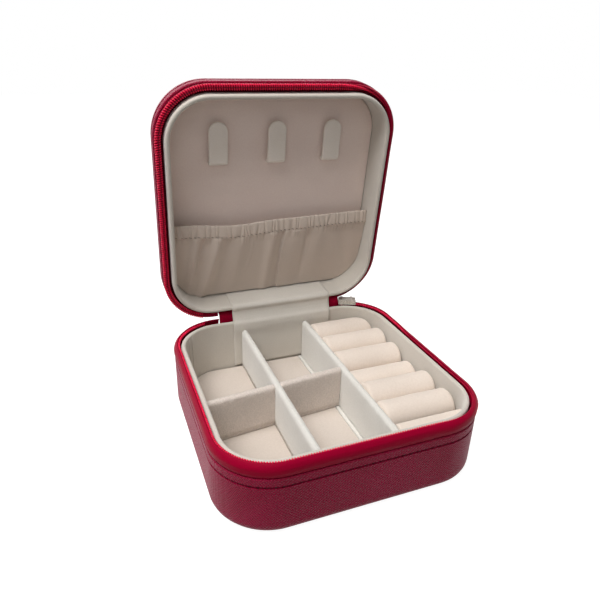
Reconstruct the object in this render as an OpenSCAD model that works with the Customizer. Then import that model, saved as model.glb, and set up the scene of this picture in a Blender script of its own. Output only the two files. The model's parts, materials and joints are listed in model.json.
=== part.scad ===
// Small square travel jewelry box with a zip, shown with its lid standing open.
// Millimetres. X runs to the right, Y to the hinge at the back, Z up.
// The origin is the middle of the base's underside.
// Lid pieces are drawn in the closed position and turned about the hinge line.

/* [Outside] */
// outside width, left to right
box_w = 100; // [94:1:112]
// outside depth, front to back
box_d = 100; // [94:1:112]
// outside corner radius seen from above
corner_r = 21; // [20:0.5:23]
// height of the closed box
box_h = 45.4; // [44.6:0.1:47]
// rounding where the base's walls meet its underside
base_foot_r = 4.0; // [3:0.5:5]
// rounding where the lid's walls meet its top
lid_crown_r = 5.2; // [4:0.2:6]
// thickness of the cover material
cover_t = 1.0; // [0.8:0.1:1]
// thickness of the boards that stiffen the walls, base and lid
board_t = 1.8; // [1.5:0.1:2]
// height of the lid cover's side, from its stitched edge to the top
lid_side_h = 9.6; // [9.2:0.1:10.4]
// height of the band of zip that shows between the two covers, lid closed
zip_band_h = 12.6; // [12.4:0.1:13]

/* [Stitching] */
// distance from a cover's edge to its row of stitches
stitch_inset = 3.3; // [2.8:0.1:4]
// length from one stitch to the next
stitch_pitch = 3.2; // [2.6:0.1:4]
// height of the groove that the stitches lie in
groove_h = 0.9; // [0.7:0.1:1.2]
// depth of that groove
groove_d = 0.35; // [0.2:0.05:0.4]
// thickness of the thread
thread_h = 0.6; // [0.4:0.05:0.7]

/* [Zip] */
// thickness of the zip tape
tape_t = 0.6; // [0.5:0.05:0.7]
// depth to which the tape is sewn in under each cover
tape_tuck = 4.2; // [3.8:0.1:4.3]
// height of the base's tape above the cover's edge
base_tape_up = 4.8; // [4.4:0.1:5]
// height of the lid's tape below the cover's edge, lid closed
lid_tape_down = 4.8; // [4.4:0.1:4.9]
// height of each row of teeth
tooth_h = 2.0; // [1.8:0.1:2.1]
// height of the top of the base's teeth above the cover's edge
base_teeth_up = 6.0; // [5.8:0.1:6.1]
// gap between the two rows of teeth, lid closed
teeth_gap = 1.2; // [1.2:0.05:1.3]
// spacing of the teeth
tooth_pitch = 1.25; // [1.1:0.05:1.5]
// thickness of the core that joins the teeth
tooth_core = 0.35; // [0.3:0.05:0.4]
// how far each tooth stands out from that core
tooth_out = 0.5; // [0.4:0.05:0.5]
// distance from the box's side to the end of the teeth at the back
teeth_end = 16; // [15:0.5:16]
// distance from the right side to the lid's teeth beside the parked slider
lid_teeth_end = 8.5; // [8:0.1:8.5]

/* [Zip slider] */
// turn of the slider around the corner from straight back, degrees
slider_turn = 22; // [21:1:24]
// length of the slider along the zip
slider_len = 8.2; // [7.5:0.1:8.6]
// height of the slider
slider_h = 4.2; // [4:0.1:4.4]
// thickness of the slider's roof over the teeth
slider_roof_t = 0.6; // [0.5:0.05:0.6]
// thickness of the slider's outer plate
slider_outer_t = 0.9; // [0.8:0.1:1]
// thickness of the slider's inner plate
slider_inner_t = 0.8; // [0.7:0.1:0.8]
// gap left round the teeth and tape inside the slider
slider_gap = 0.3; // [0.25:0.05:0.3]
// width of the pull tab
pull_w = 6; // [5:0.5:7]
// length of the pull tab
pull_len = 20; // [15:0.5:20]
// thickness of the pull tab
pull_t = 1.2; // [1:0.1:1.3]
// diameter of the pull's pin
pull_pin_d = 1.2; // [1.1:0.1:1.3]
// play between the pin and the pull's eye
pin_play = 0.3; // [0.25:0.05:0.35]

/* [Hinge] */
// distance from the back of the box to the hinge line
hinge_in = 1.3; // [1.2:0.05:1.4]
// height of the hinge line above the base cover's edge
hinge_up = 7.4; // [7.3:0.05:7.5]
// angle at which the lid stands open, degrees
open_angle = 83; // [75:1:95]
// distance from the left side to the spine's left end
spine_left = 23.4; // [22:0.1:25]
// distance from the right side to the spine's right end
spine_right = 18.0; // [17.9:0.1:19]
// distance from the left side to the cloth strap's left edge
strap_left = 29.0; // [27:0.1:30]
// distance from the right side to the cloth strap's right edge
strap_right = 23.7; // [22:0.1:25]
// thickness of the cloth hinge strap
strap_t = 0.5; // [0.4:0.05:0.5]

/* [Base inside] */
// distance from the outside to the lining's inner face, base
base_lining_in = 4.6; // [4.4:0.1:4.8]
// thickness of the base's lining wall
base_lining_t = 1.8; // [1.6:0.1:1.8]
// height of the base lining's rim above the cover's edge
base_rim_up = 4.4; // [4:0.1:4.6]
// thickness of the padded floors
pad_t = 2.0; // [1.5:0.1:2.5]
// depth of the dividers' tops below the rim
divider_down = 4.4; // [4:0.1:6]
// thickness of the dividers
divider_t = 2.9; // [2.4:0.1:3.2]
// width of the left compartments
left_w = 27.85; // [26:0.1:30]
// width of the part that holds the rings
ring_w = 30.45; // [29:0.1:32]
// where the cross divider passes through the middle one
cross_y = -0.9; // [-4:0.1:4]
// turn of the loose cross divider, degrees
cross_turn = 6; // [0:0.5:6.5]
// play of the dividers in their slots
slot_play = 0.35; // [0.3:0.05:0.4]
// play between the ends of the loose dividers and the walls
end_play = 1.1; // [1.1:0.05:1.3]

/* [Ring rolls] */
// gap between one roll and the next
roll_gap = 0.1; // [0.1:0.05:0.4]
// how far the foot under each roll is set in from the roll's sides
roll_foot_in = 1.3; // [1:0.1:2]
// depth of the first and second rolls' tops below the rim
roll_back_down = 4.1; // [3.8:0.1:6]
// depth of the third roll's top below the rim
roll_third_down = 4.6; // [3.8:0.1:6]
// depth of the sunken fourth roll's top below the rim
roll_low_down = 6.9; // [5:0.1:8]
// depth of the fifth and sixth rolls' tops below the rim
roll_front_down = 3.9; // [3.8:0.1:6]
// width of the front ledge, front to back
ledge_w = 8.4; // [7:0.1:9]
// groove between the last roll and the ledge
ledge_gap = 3.5; // [2:0.1:4]
// depth of the front ledge's top below the rim
ledge_down = 5.0; // [4:0.1:7]
// play between the ring pieces and what surrounds them
ring_play = 0.3; // [0.2:0.05:0.4]

/* [Lid inside] */
// distance from the outside to the lining's inner face, lid
lid_lining_in = 5.4; // [5.2:0.1:5.6]
// thickness of the lid's lining wall
lid_lining_t = 1.9; // [1.7:0.1:2]
// distance from the lid cover's edge to the lid lining's rim
lid_rim_down = 6.4; // [6.3:0.05:6.5]
// depth of the padded panel's face below the top of the lid
panel_down = 3.6; // [3.5:0.1:4]
// thickness of the padded panel
panel_t = 1.2; // [1:0.1:1.2]
// width of a necklace hook
hook_w = 7.7; // [6:0.1:9]
// distance from the lid's front wall to a hook's free end
hook_tip_in = 10.3; // [8:0.1:12]
// length of a hook
hook_len = 17.2; // [14:0.1:20]
// thickness of a hook
hook_t = 1.5; // [1.2:0.1:2]
// gap between a hook and the panel
hook_gap = 1.6; // [1:0.1:2.5]
// distance from the middle hook to the outer hooks
hook_pitch = 24.4; // [20:0.1:28]

/* [Lid pocket] */
// depth of the pocket, from its hem to the lid's hinge side
pocket_deep = 36.1; // [31:0.1:40]
// height of the gathered hem
hem_h = 6.0; // [4:0.1:8]
// thickness of the gathered hem
hem_t = 1.4; // [1:0.1:1.6]
// thickness of the pocket cloth
pocket_t = 0.9; // [0.7:0.1:1.1]
// how far the hem stands out from the panel
pocket_open = 5.0; // [4.8:0.1:5.4]
// how far the pocket's foot stands out from the panel
pocket_foot = 0.9; // [0.8:0.1:1]
// height of the elastic inside the hem
elastic_h = 4.0; // [3:0.1:5]
// thickness of the elastic
elastic_t = 0.6; // [0.5:0.05:0.7]

/* [Hidden] */
$fn = 64;

red = [0.45, 0.04, 0.12];
deep_red = [0.5, 0, 0.1];
grey_board = [0.6, 0.58, 0.54];
cream = [0.88, 0.85, 0.8];
warm_cream = [0.9, 0.84, 0.78];
taupe = [0.62, 0.55, 0.5];
metal = [0.55, 0.52, 0.5];

hx = box_w / 2;
hy = box_d / 2;
fillet_n = 6;
foot_wrap = 3;
base_board_up = 1;
spine_play = 0.3;
spine_below = 0.65;
spine_above = 0.35;
lid_board_down = 2;
lid_edge_z = box_h - lid_side_h;
base_edge_z = lid_edge_z - zip_band_h;
floor_z = cover_t + board_t;
pad_z = floor_z + pad_t;
roof_z = box_h - cover_t;
base_in_x = hx - base_lining_in;
base_in_y = hy - base_lining_in;
base_in_r = corner_r - base_lining_in;
lid_in_x = hx - lid_lining_in;
lid_in_y = hy - lid_lining_in;
lid_in_r = corner_r - lid_lining_in;
tape_in = cover_t + tape_t;
base_lining_out = base_lining_in - base_lining_t;
lid_lining_out = lid_lining_in - lid_lining_t;
base_board_top = base_edge_z + base_board_up;
lid_board_low = lid_edge_z - lid_board_down;
base_rim_z = base_edge_z + base_rim_up;
lid_rim_z = lid_edge_z - lid_rim_down;
panel_z = box_h - panel_down;
board_top_t = roof_z - panel_z - panel_t;
base_tape_top = base_edge_z + base_tape_up;
lid_tape_low = lid_edge_z - lid_tape_down;
base_teeth_top = base_edge_z + base_teeth_up;
lid_teeth_low = base_teeth_top + teeth_gap;
toothless_half = hx - teeth_end;
tooth_seat = 0.03;
tooth_fill = 0.55;
lid_teeth_x1 = hx - lid_teeth_end;
slider_top = base_teeth_top + slider_gap + slider_roof_t;
hinge_y = hy - hinge_in;
hinge_z = base_edge_z + hinge_up;
spine_x0 = spine_left - hx;
spine_x1 = hx - spine_right;
strap_x0 = strap_left - hx;
strap_x1 = hx - strap_right;
divider_top = base_rim_z - divider_down;
middle_x = left_w + divider_t / 2 - base_in_x;
ring_div_x = base_in_x - ring_w - divider_t / 2;
ring_x0 = ring_div_x + divider_t / 2 + ring_play;
row_back = base_in_y - strap_t + roll_gap;
row_front = base_in_y - ledge_w - ledge_gap;
roll_pitch = (row_back + row_front + roll_gap) / 6;
roll_d = roll_pitch - roll_gap;
roll_first_y = row_back - roll_d / 2;
ledge_y = base_in_y - ledge_w;
ledge_top = base_rim_z - ledge_down;
hook_tip_y = lid_in_y - hook_tip_in;
hook_root_y = hook_tip_y - hook_len;
pocket_hem_y = lid_in_y - pocket_deep;
pocket_end_y = lid_in_y - strap_t - 0.5;
foot_turn = 5;
foot_slope = 1.2;
strap_stub_y = hinge_y - 1.45;
strap_stub_top = hinge_z + 1.1;

// ---------- helpers ----------

// Carries a wall section, drawn with its outside face at x = 0, round the rounded square.
module wall_loop(half_x, half_y, r) {
  for (q = [0 : 3])
    rotate([0, 0, 90 * q])
      translate([(q % 2 == 0 ? half_x : half_y) - r, (q % 2 == 0 ? half_y : half_x) - r, 0])
        union() {
          rotate_extrude(angle = 90)
            translate([r, 0])
              children();
          rotate([90, 0, 0])
            linear_extrude(2 * ((q % 2 == 0 ? half_y : half_x) - r))
              translate([r, 0])
                children();
        }
}

// A flat plate with the box's rounded corners.
module round_plate(half_x, half_y, r, z0, h) {
  translate([-half_x, -(half_y - r), z0])
    cube([2 * half_x, 2 * (half_y - r), h]);
  translate([-(half_x - r), -half_y, z0])
    cube([2 * (half_x - r), 2 * half_y, h]);
  for (sx = [-1, 1])
    for (sy = [-1, 1])
      translate([sx * (half_x - r), sy * (half_y - r), z0])
        cylinder(r = r, h = h);
}

// Quarter circle points around (cx, cz) from angle a0 to a1.
function arc_pts(cx, cz, r, a0, a1, n) =
  [for (k = [0 : n]) [cx + r * cos(a0 + (a1 - a0) * k / n), cz + r * sin(a0 + (a1 - a0) * k / n)]];

// Length of the closed path at an offset from the outside.
function side_x(off) = 2 * (hx - corner_r);
function side_y(off) = 2 * (hy - corner_r);
function arc_len(off) = (corner_r - off) * PI / 2;

// Point on the rounded square: quarter q, straight first (t < straight), then the corner.
function straight_pt(q, off, s) =
  q == 0 ? [hx - off, -(hy - corner_r) + s]
  : q == 1 ? [(hx - corner_r) - s, hy - off]
  : q == 2 ? [-(hx - off), (hy - corner_r) - s]
  : [-(hx - corner_r) + s, -(hy - off)];
function corner_pt(q, off, a) =
  let (cx = (q == 0 || q == 3 ? 1 : -1) * (hx - corner_r))
  let (cy = (q == 0 || q == 1 ? 1 : -1) * (hy - corner_r))
  [cx + (corner_r - off) * cos(90 * q + a), cy + (corner_r - off) * sin(90 * q + a)];
function straight_len(q) = q % 2 == 0 ? 2 * (hy - corner_r) : 2 * (hx - corner_r);

// Outline that steps between two offsets once per pitch: teeth or stitches.
function comb_pts(low, high, pitch, duty) =
  [for (q = [0 : 3])
    let (ns = round(straight_len(q) / pitch))
    let (nc = round(arc_len(low) / pitch))
    let (ps = straight_len(q) / ns)
    let (ac = 90 / nc)
    each concat(
      [for (k = [0 : ns - 1]) each [
        straight_pt(q, low, (k + 0.5 - duty / 2) * ps),
        straight_pt(q, high, (k + 0.5 - duty / 2) * ps),
        straight_pt(q, high, (k + 0.5 + duty / 2) * ps),
        straight_pt(q, low, (k + 0.5 + duty / 2) * ps)
      ]],
      [for (k = [0 : nc - 1]) each [
        corner_pt(q, low, (k + 0.5 - duty / 2) * ac),
        corner_pt(q, high, (k + 0.5 - duty / 2) * ac),
        corner_pt(q, high, (k + 0.5 + duty / 2) * ac),
        corner_pt(q, low, (k + 0.5 + duty / 2) * ac)
      ]]
    )
  ];
function plain_pts(off, n) =
  [for (q = [0 : 3]) each [for (k = [0 : n]) corner_pt(q, off, 90 * k / n)]];

module comb_ring(inner, low, high, pitch, duty, z0, h) {
  translate([0, 0, z0])
    linear_extrude(h)
      difference() {
        polygon(comb_pts(low, high, pitch, duty));
        polygon(plain_pts(inner, 30));
      }
}

// Turns a lid piece from its closed place to the open angle.
module lid_pose() {
  translate([0, hinge_y, hinge_z])
    rotate([-open_angle, 0, 0])
      translate([0, -hinge_y, -hinge_z])
        children();
}

// ---------- base ----------

module base_cover_section() {
  groove_z = base_edge_z - stitch_inset;
  polygon(concat(
    [[-base_foot_r - foot_wrap, cover_t], [-base_foot_r - foot_wrap, 0]],
    arc_pts(-base_foot_r, base_foot_r, base_foot_r, -90, 0, fillet_n),
    [
      [0, groove_z - groove_h / 2], [-groove_d, groove_z - groove_h / 2],
      [-groove_d, groove_z + groove_h / 2], [0, groove_z + groove_h / 2],
      [0, base_edge_z - 0.35], [-0.35, base_edge_z], [-cover_t, base_edge_z]
    ],
    arc_pts(-base_foot_r, base_foot_r, base_foot_r - cover_t, 0, -90, fillet_n)
  ));
}

module base_cover() {
  color(red) {
    wall_loop(hx, hy, corner_r)
      base_cover_section();
    round_plate(hx - base_foot_r - 1, hy - base_foot_r - 1, corner_r - base_foot_r - 1, 0, cover_t);
  }
}

module base_frame_section() {
  seat_z = base_edge_z - tape_tuck;
  polygon(concat(
    [[-base_foot_r - foot_wrap, floor_z], [-base_foot_r - foot_wrap, cover_t]],
    arc_pts(-base_foot_r, base_foot_r, base_foot_r - cover_t, -90, 0, fillet_n),
    [
      [-cover_t, seat_z], [-tape_in, seat_z], [-tape_in, base_board_top],
      [-base_lining_out, base_board_top], [-base_lining_out, floor_z]
    ]
  ));
}

module base_frame() {
  color(grey_board) {
    wall_loop(hx, hy, corner_r)
      base_frame_section();
    round_plate(hx - base_foot_r - 1, hy - base_foot_r - 1, corner_r - base_foot_r - 1, cover_t, board_t);
  }
}

module base_lining() {
  mid = (base_lining_in + base_lining_out) / 2;
  color(cream)
    wall_loop(hx, hy, corner_r)
      polygon(concat(
        [[-base_lining_in, floor_z], [-base_lining_out, floor_z]],
        arc_pts(-mid, base_rim_z - base_lining_t / 2, base_lining_t / 2, 0, 180, 8)
      ));
}

module base_stitching() {
  z = base_edge_z - stitch_inset;
  color(deep_red)
    comb_ring(groove_d - 0.03, groove_d - 0.15, -0.1, stitch_pitch, 0.72, z - thread_h / 2, thread_h);
}

// A thin band just inside the covers, all the way round.
module band(z0, z1) {
  wall_loop(hx, hy, corner_r)
    translate([-tape_in, z0])
      square([tape_t, z1 - z0]);
}

// The stretch of the back wall that the spine takes up, with play at both ends.
module spine_stretch(play, z0, z1) {
  translate([spine_x0 - play, hy - corner_r / 2, z0 - 1])
    cube([spine_x1 - spine_x0 + 2 * play, corner_r, z1 - z0 + 2]);
}

module tape_loop(z0, z1) {
  difference() {
    band(z0, z1);
    spine_stretch(spine_play, z0, z1);
  }
}

module base_zip_tape() {
  color(deep_red)
    tape_loop(base_edge_z - tape_tuck, base_tape_top);
}

module teeth(z0, x1) {
  low = cover_t - tooth_core;
  difference() {
    comb_ring(cover_t - tooth_seat, low, low - tooth_out, tooth_pitch, tooth_fill, z0, tooth_h);
    translate([-toothless_half, hy - corner_r / 2, z0 - 1])
      cube([toothless_half + x1, corner_r, tooth_h + 2]);
  }
}

module base_zip_teeth() {
  color(deep_red)
    teeth(base_teeth_top - tooth_h, toothless_half);
}

// The part of the base's inside from x0 to x1, with play all round.
module inside_slab(x0, x1, z0, h, play) {
  intersection() {
    round_plate(base_in_x - play, base_in_y - play, base_in_r - play, z0, h);
    translate([x0, -hy, z0])
      cube([x1 - x0, 2 * hy, h]);
  }
}

module floor_pad() {
  color(warm_cream)
    inside_slab(-hx, ring_div_x - divider_t / 2 - ring_play, floor_z, pad_t, ring_play);
}

// Upright board with a rounded top, running along Y, centred on X.
module divider_board(y0, y1, z0) {
  r = divider_t / 2;
  translate([0, y1, 0])
    rotate([90, 0, 0])
      linear_extrude(y1 - y0)
        polygon(concat([[-r, z0], [r, z0]], arc_pts(0, divider_top - r, r, 0, 180, 10)));
}

module ring_divider() {
  color(cream)
    translate([ring_div_x, 0, 0])
      divider_board(-(base_in_y - ring_play), base_in_y - strap_t - ring_play, floor_z);
}

module ring_bed() {
  color(warm_cream)
    difference() {
      inside_slab(ring_x0, hx, floor_z, pad_t, ring_play);
      translate([0, base_in_y - strap_t - ring_play, floor_z - 1])
        cube([strap_x1 + ring_play, strap_t + 1, pad_t + 2]);
    }
}

module ring_ledge() {
  color(cream)
    difference() {
      inside_slab(ring_x0, hx, pad_z, ledge_top - pad_z, ring_play);
      translate([0, -ledge_y, pad_z - 1])
        cube([hx, hy * 2, ledge_top]);
    }
}

module ring_roll(k, top) {
  y = roll_first_y - roll_pitch * (k - 1);
  foot_w = roll_d - 2 * roll_foot_in;
  room_x = base_in_x - ring_play;
  room_y = base_in_y - strap_t - ring_play;
  color(warm_cream)
    intersection() {
      union() {
        translate([ring_x0, y, top - roll_d / 2])
          rotate([0, 90, 0])
            cylinder(d = roll_d, h = hx);
        translate([ring_x0, y - foot_w / 2, pad_z])
          cube([hx, foot_w, top - roll_d / 2 - pad_z]);
      }
      round_plate(room_x, room_y, base_in_r - ring_play, pad_z, divider_top);
    }
}

module ring_roll_1() { ring_roll(1, base_rim_z - roll_back_down); }
module ring_roll_2() { ring_roll(2, base_rim_z - roll_back_down); }
module ring_roll_3() { ring_roll(3, base_rim_z - roll_third_down); }
module ring_roll_4() { ring_roll(4, base_rim_z - roll_low_down); }
module ring_roll_5() { ring_roll(5, base_rim_z - roll_front_down); }
module ring_roll_6() { ring_roll(6, base_rim_z - roll_front_down); }

// ---------- hinge ----------

module hinge_strap_base() {
  iy = base_in_y;
  color(cream)
    translate([strap_x0, 0, 0])
      rotate([90, 0, 90])
        linear_extrude(strap_x1 - strap_x0)
          polygon([
            [iy - strap_t, pad_z + 0.4], [iy, pad_z + 0.4], [iy, base_rim_z],
            [strap_stub_y + strap_t, base_rim_z], [strap_stub_y + strap_t, strap_stub_top],
            [strap_stub_y, strap_stub_top], [strap_stub_y, base_rim_z + strap_t],
            [iy - strap_t, base_rim_z + strap_t]
          ]);
}

module spine(z0, z1) {
  intersection() {
    band(z0, z1);
    spine_stretch(0, z0, z1);
  }
}

module hinge_spine_base() {
  color(red)
    spine(base_edge_z - tape_tuck, hinge_z - spine_below);
}

// ---------- zip slider ----------

slider_r = corner_r - cover_t;

module slider_place() {
  translate([hx - corner_r, hy - corner_r, 0])
    rotate([0, 0, 90 - slider_turn])
      children();
}

module zip_slider() {
  r_in = slider_r - tape_t - slider_gap - slider_inner_t;
  r_out = slider_r + tooth_core + tooth_out + slider_gap + slider_outer_t;
  chan_in = r_in + slider_inner_t;
  chan_out = r_out - slider_outer_t;
  z0 = slider_top - slider_h;
  color(metal)
    slider_place()
      difference() {
        union() {
          translate([r_in - 0.4, -slider_len / 2, z0])
            cube([r_out - r_in + 0.4, slider_len, slider_h]);
          for (s = [-1, 1])
            translate([r_out - 0.1, s * (pull_w / 2 - 0.6) - 0.6, z0 + 1])
              cube([pull_t + 1.9, 1.2, 2.2]);
        }
        rotate([0, 0, -40])
          rotate_extrude(angle = 80)
            translate([chan_in, z0 - 1])
              square([chan_out - chan_in, base_teeth_top + slider_gap - z0 + 1]);
        for (s = [-1, 1])
          translate([chan_in, s * slider_len / 2 - 1.6, base_teeth_top])
            cube([chan_out - chan_in, 3.2, 5]);
        translate([r_in - 1, -slider_len, z0 - 1])
          cube([slider_inner_t + 1.2, 2 * slider_len, base_rim_z + slider_gap - z0 + 1]);
        translate([r_out + 1.4, -slider_len, z0 + 2.1])
          rotate([-90, 0, 0])
            cylinder(d = pull_pin_d, h = 2 * slider_len, $fn = 32);
      }
}

module zip_pull() {
  r_out = slider_r + tooth_core + tooth_out + slider_gap + slider_outer_t;
  z0 = slider_top - slider_h;
  pin_x = r_out + 1.4;
  pin_z = z0 + 2.1;
  color(metal)
    slider_place() {
      translate([pin_x, -pull_w / 2 - 0.4, pin_z])
        rotate([-90, 0, 0])
          cylinder(d = pull_pin_d - 0.2, h = pull_w + 0.8, $fn = 32);
      translate([pin_x - pull_t / 2, -(pull_w / 2 - 1.5), pin_z - 3])
        cube([pull_t, pull_w - 3, 3.3]);
      translate([pin_x - pull_t / 2, -pull_w / 2, pin_z - pull_len + pull_w / 2])
        cube([pull_t, pull_w, pull_len - pull_w / 2 - 2]);
      translate([pin_x - pull_t / 2, 0, pin_z - pull_len + pull_w / 2])
        rotate([0, 90, 0])
          cylinder(d = pull_w, h = pull_t);
    }
}

// ---------- loose dividers ----------

lap_z = (pad_z + divider_top) / 2;

module middle_divider() {
  color(cream)
    difference() {
      translate([middle_x, 0, 0])
        divider_board(-(base_in_y - end_play), base_in_y - strap_t - end_play, pad_z);
      translate([middle_x, cross_y, pad_z - 1])
        rotate([0, 0, cross_turn])
          translate([-divider_t, -(divider_t + slot_play) / 2, 0])
            cube([2 * divider_t, divider_t + slot_play, lap_z - pad_z + 1]);
    }
}

module cross_divider() {
  x0 = -(base_in_x - end_play);
  x1 = ring_div_x - divider_t / 2 - end_play;
  c = cos(cross_turn);
  skew = divider_t / 2 * sin(cross_turn);
  color(cream)
    difference() {
      translate([middle_x, cross_y, 0])
        rotate([0, 0, cross_turn - 90])
          divider_board((x0 - middle_x + skew) / c, (x1 - middle_x - skew) / c, pad_z);
      translate([middle_x - (divider_t + slot_play) / 2, cross_y - divider_t, lap_z])
        cube([divider_t + slot_play, 2 * divider_t, divider_top]);
    }
}

// ---------- lid, drawn closed ----------

module lid_cover_section() {
  groove_z = lid_edge_z + stitch_inset;
  polygon(concat(
    [[-lid_crown_r - foot_wrap, box_h], [-lid_crown_r - foot_wrap, roof_z]],
    arc_pts(-lid_crown_r, box_h - lid_crown_r, lid_crown_r - cover_t, 90, 0, fillet_n),
    [
      [-cover_t, lid_edge_z], [-0.35, lid_edge_z], [0, lid_edge_z + 0.35],
      [0, groove_z - groove_h / 2], [-groove_d, groove_z - groove_h / 2],
      [-groove_d, groove_z + groove_h / 2], [0, groove_z + groove_h / 2]
    ],
    arc_pts(-lid_crown_r, box_h - lid_crown_r, lid_crown_r, 0, 90, fillet_n)
  ));
}

module lid_cover() {
  in = lid_crown_r + 1;
  color(red)
    lid_pose() {
      wall_loop(hx, hy, corner_r)
        lid_cover_section();
      round_plate(hx - in, hy - in, corner_r - in, roof_z, cover_t);
    }
}

module lid_frame_section() {
  seat_z = lid_edge_z + tape_tuck;
  polygon(concat(
    [
      [-lid_crown_r - foot_wrap, roof_z], [-lid_crown_r - foot_wrap, roof_z - board_top_t],
      [-lid_lining_out, roof_z - board_top_t], [-lid_lining_out, lid_board_low],
      [-tape_in, lid_board_low], [-tape_in, seat_z]
    ],
    [for (p = arc_pts(-lid_crown_r, box_h - lid_crown_r, lid_crown_r - cover_t, 0, 90, fillet_n))
      if (p[1] > seat_z) p]
  ));
}

module lid_frame() {
  in = lid_crown_r + 1;
  color(grey_board)
    lid_pose() {
      wall_loop(hx, hy, corner_r)
        lid_frame_section();
      round_plate(hx - in, hy - in, corner_r - in, roof_z - board_top_t, board_top_t);
    }
}

module lid_lining() {
  mid = (lid_lining_in + lid_lining_out) / 2;
  color(cream)
    lid_pose()
      wall_loop(hx, hy, corner_r)
        polygon(concat(
          [[-lid_lining_out, panel_z + panel_t], [-lid_lining_in, panel_z + panel_t]],
          arc_pts(-mid, lid_rim_z + lid_lining_t / 2, lid_lining_t / 2, 180, 360, 8)
        ));
}

module lid_stitching() {
  z = lid_edge_z + stitch_inset;
  color(deep_red)
    lid_pose()
      comb_ring(groove_d - 0.03, groove_d - 0.15, -0.1, stitch_pitch, 0.72, z - thread_h / 2, thread_h);
}

module lid_zip_tape() {
  color(deep_red)
    lid_pose()
      tape_loop(lid_tape_low, lid_edge_z + tape_tuck);
}

module lid_zip_teeth() {
  color(deep_red)
    lid_pose()
      teeth(lid_teeth_low, lid_teeth_x1);
}

module hook_slot(x, play) {
  translate([x - hook_w / 2 - play, -hook_root_y - hook_t - play, panel_z - 1])
    cube([hook_w + 2 * play, hook_t + 2 * play, panel_t + 2]);
}

module lid_panel() {
  color(taupe)
    lid_pose()
      difference() {
        round_plate(lid_in_x - 0.2, lid_in_y - 0.2, lid_in_r - 0.2, panel_z, panel_t);
        for (k = [-1 : 1])
          hook_slot(k * hook_pitch, 0.1);
      }
}

module necklace_hook(x) {
  face_z = panel_z - hook_gap - hook_t;
  color(cream)
    lid_pose()
      intersection() {
        union() {
          translate([x - hook_w / 2, -hook_tip_y + hook_w / 2, face_z])
            cube([hook_w, hook_len - hook_w / 2, hook_gap + hook_t + panel_t]);
          translate([x, -hook_tip_y + hook_w / 2, face_z])
            cylinder(d = hook_w, h = hook_t);
        }
        translate([x - hook_w, 0, 0])
          rotate([90, 0, 90])
            linear_extrude(2 * hook_w)
              polygon([
                [-hook_tip_y - 1, face_z + 0.5], [-hook_tip_y + 1.5, face_z],
                [-hook_root_y - 0.6, face_z], [-hook_root_y, face_z + 0.6],
                [-hook_root_y, panel_z + panel_t], [-hook_root_y - hook_t, panel_z + panel_t],
                [-hook_root_y - hook_t, face_z + hook_t], [-hook_tip_y - 1, face_z + hook_t]
              ]);
      }
}

module necklace_hook_left() { necklace_hook(-hook_pitch); }
module necklace_hook_centre() { necklace_hook(0); }
module necklace_hook_right() { necklace_hook(hook_pitch); }

module lid_pocket() {
  hem_end_y = pocket_hem_y + hem_h;
  open_z = panel_z - pocket_open;
  foot_z = panel_z - pocket_foot;
  color(taupe)
    lid_pose()
      intersection() {
        translate([-lid_in_x, 0, 0])
          rotate([90, 0, 90])
            linear_extrude(2 * lid_in_x)
              polygon([
                [pocket_hem_y, open_z - hem_t],
                [hem_end_y, open_z - hem_t],
                [hem_end_y, open_z - pocket_t],
                [pocket_end_y - foot_turn, foot_z - pocket_t - foot_slope],
                [pocket_end_y, foot_z - pocket_t + foot_slope / 2],
                [pocket_end_y, panel_z],
                [pocket_end_y - foot_slope, panel_z],
                [pocket_end_y - foot_turn, foot_z - foot_slope],
                [hem_end_y, open_z],
                [pocket_hem_y, open_z]
              ]);
        round_plate(lid_in_x - 0.2, lid_in_y - 0.2, lid_in_r - 0.2, lid_rim_z, box_h - lid_rim_z);
      }
}

module pocket_elastic() {
  color(cream)
    lid_pose()
      translate([-(lid_in_x - 0.2), pocket_hem_y + 0.8, panel_z - pocket_open])
        cube([2 * (lid_in_x - 0.2), elastic_h, elastic_t]);
}

module hinge_strap_lid() {
  color(cream)
    lid_pose()
      translate([strap_x0, 0, 0])
        rotate([90, 0, 90])
          linear_extrude(strap_x1 - strap_x0)
            polygon([
              [lid_in_y - strap_t, panel_z - 0.3], [lid_in_y, panel_z - 0.3],
              [lid_in_y, lid_rim_z], [hinge_y - 1.85, lid_rim_z],
              [hinge_y - 1.85, lid_rim_z - 0.6], [lid_in_y - strap_t, lid_rim_z - 0.6]
            ]);
}

module hinge_spine_lid() {
  color(red)
    lid_pose()
      spine(hinge_z + spine_above, lid_edge_z + tape_tuck);
}

// ---------- nodes ----------

base_cover();
base_frame();
base_lining();
base_stitching();
base_zip_tape();
base_zip_teeth();
floor_pad();
ring_divider();
ring_bed();
ring_ledge();
ring_roll_1();
ring_roll_2();
ring_roll_3();
ring_roll_4();
ring_roll_5();
ring_roll_6();
hinge_strap_base();
hinge_spine_base();
zip_slider();
zip_pull();
middle_divider();
cross_divider();
lid_cover();
lid_frame();
lid_lining();
lid_stitching();
lid_zip_tape();
lid_zip_teeth();
lid_panel();
necklace_hook_left();
necklace_hook_centre();
necklace_hook_right();
lid_pocket();
pocket_elastic();
hinge_strap_lid();
hinge_spine_lid();
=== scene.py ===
# %% [markdown]
# # A small travel jewelry box, open on a table
#
# The box is a square, zipped travel case. A stitched leather cover is glued over a board
# shell, a zip runs round three sides, and the inside is lined and fitted with padded
# dividers and ring rolls. The rigid pieces arrive as a fixed frame of solids with real
# sizes. This notebook dresses them: it keeps the solids whose shape is already right,
# and builds soft pieces, threads and teeth in their places.

# %% Load the frame
import json
import math

import bmesh
import bpy
import numpy as np
from mathutils import Matrix, Vector, noise


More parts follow.
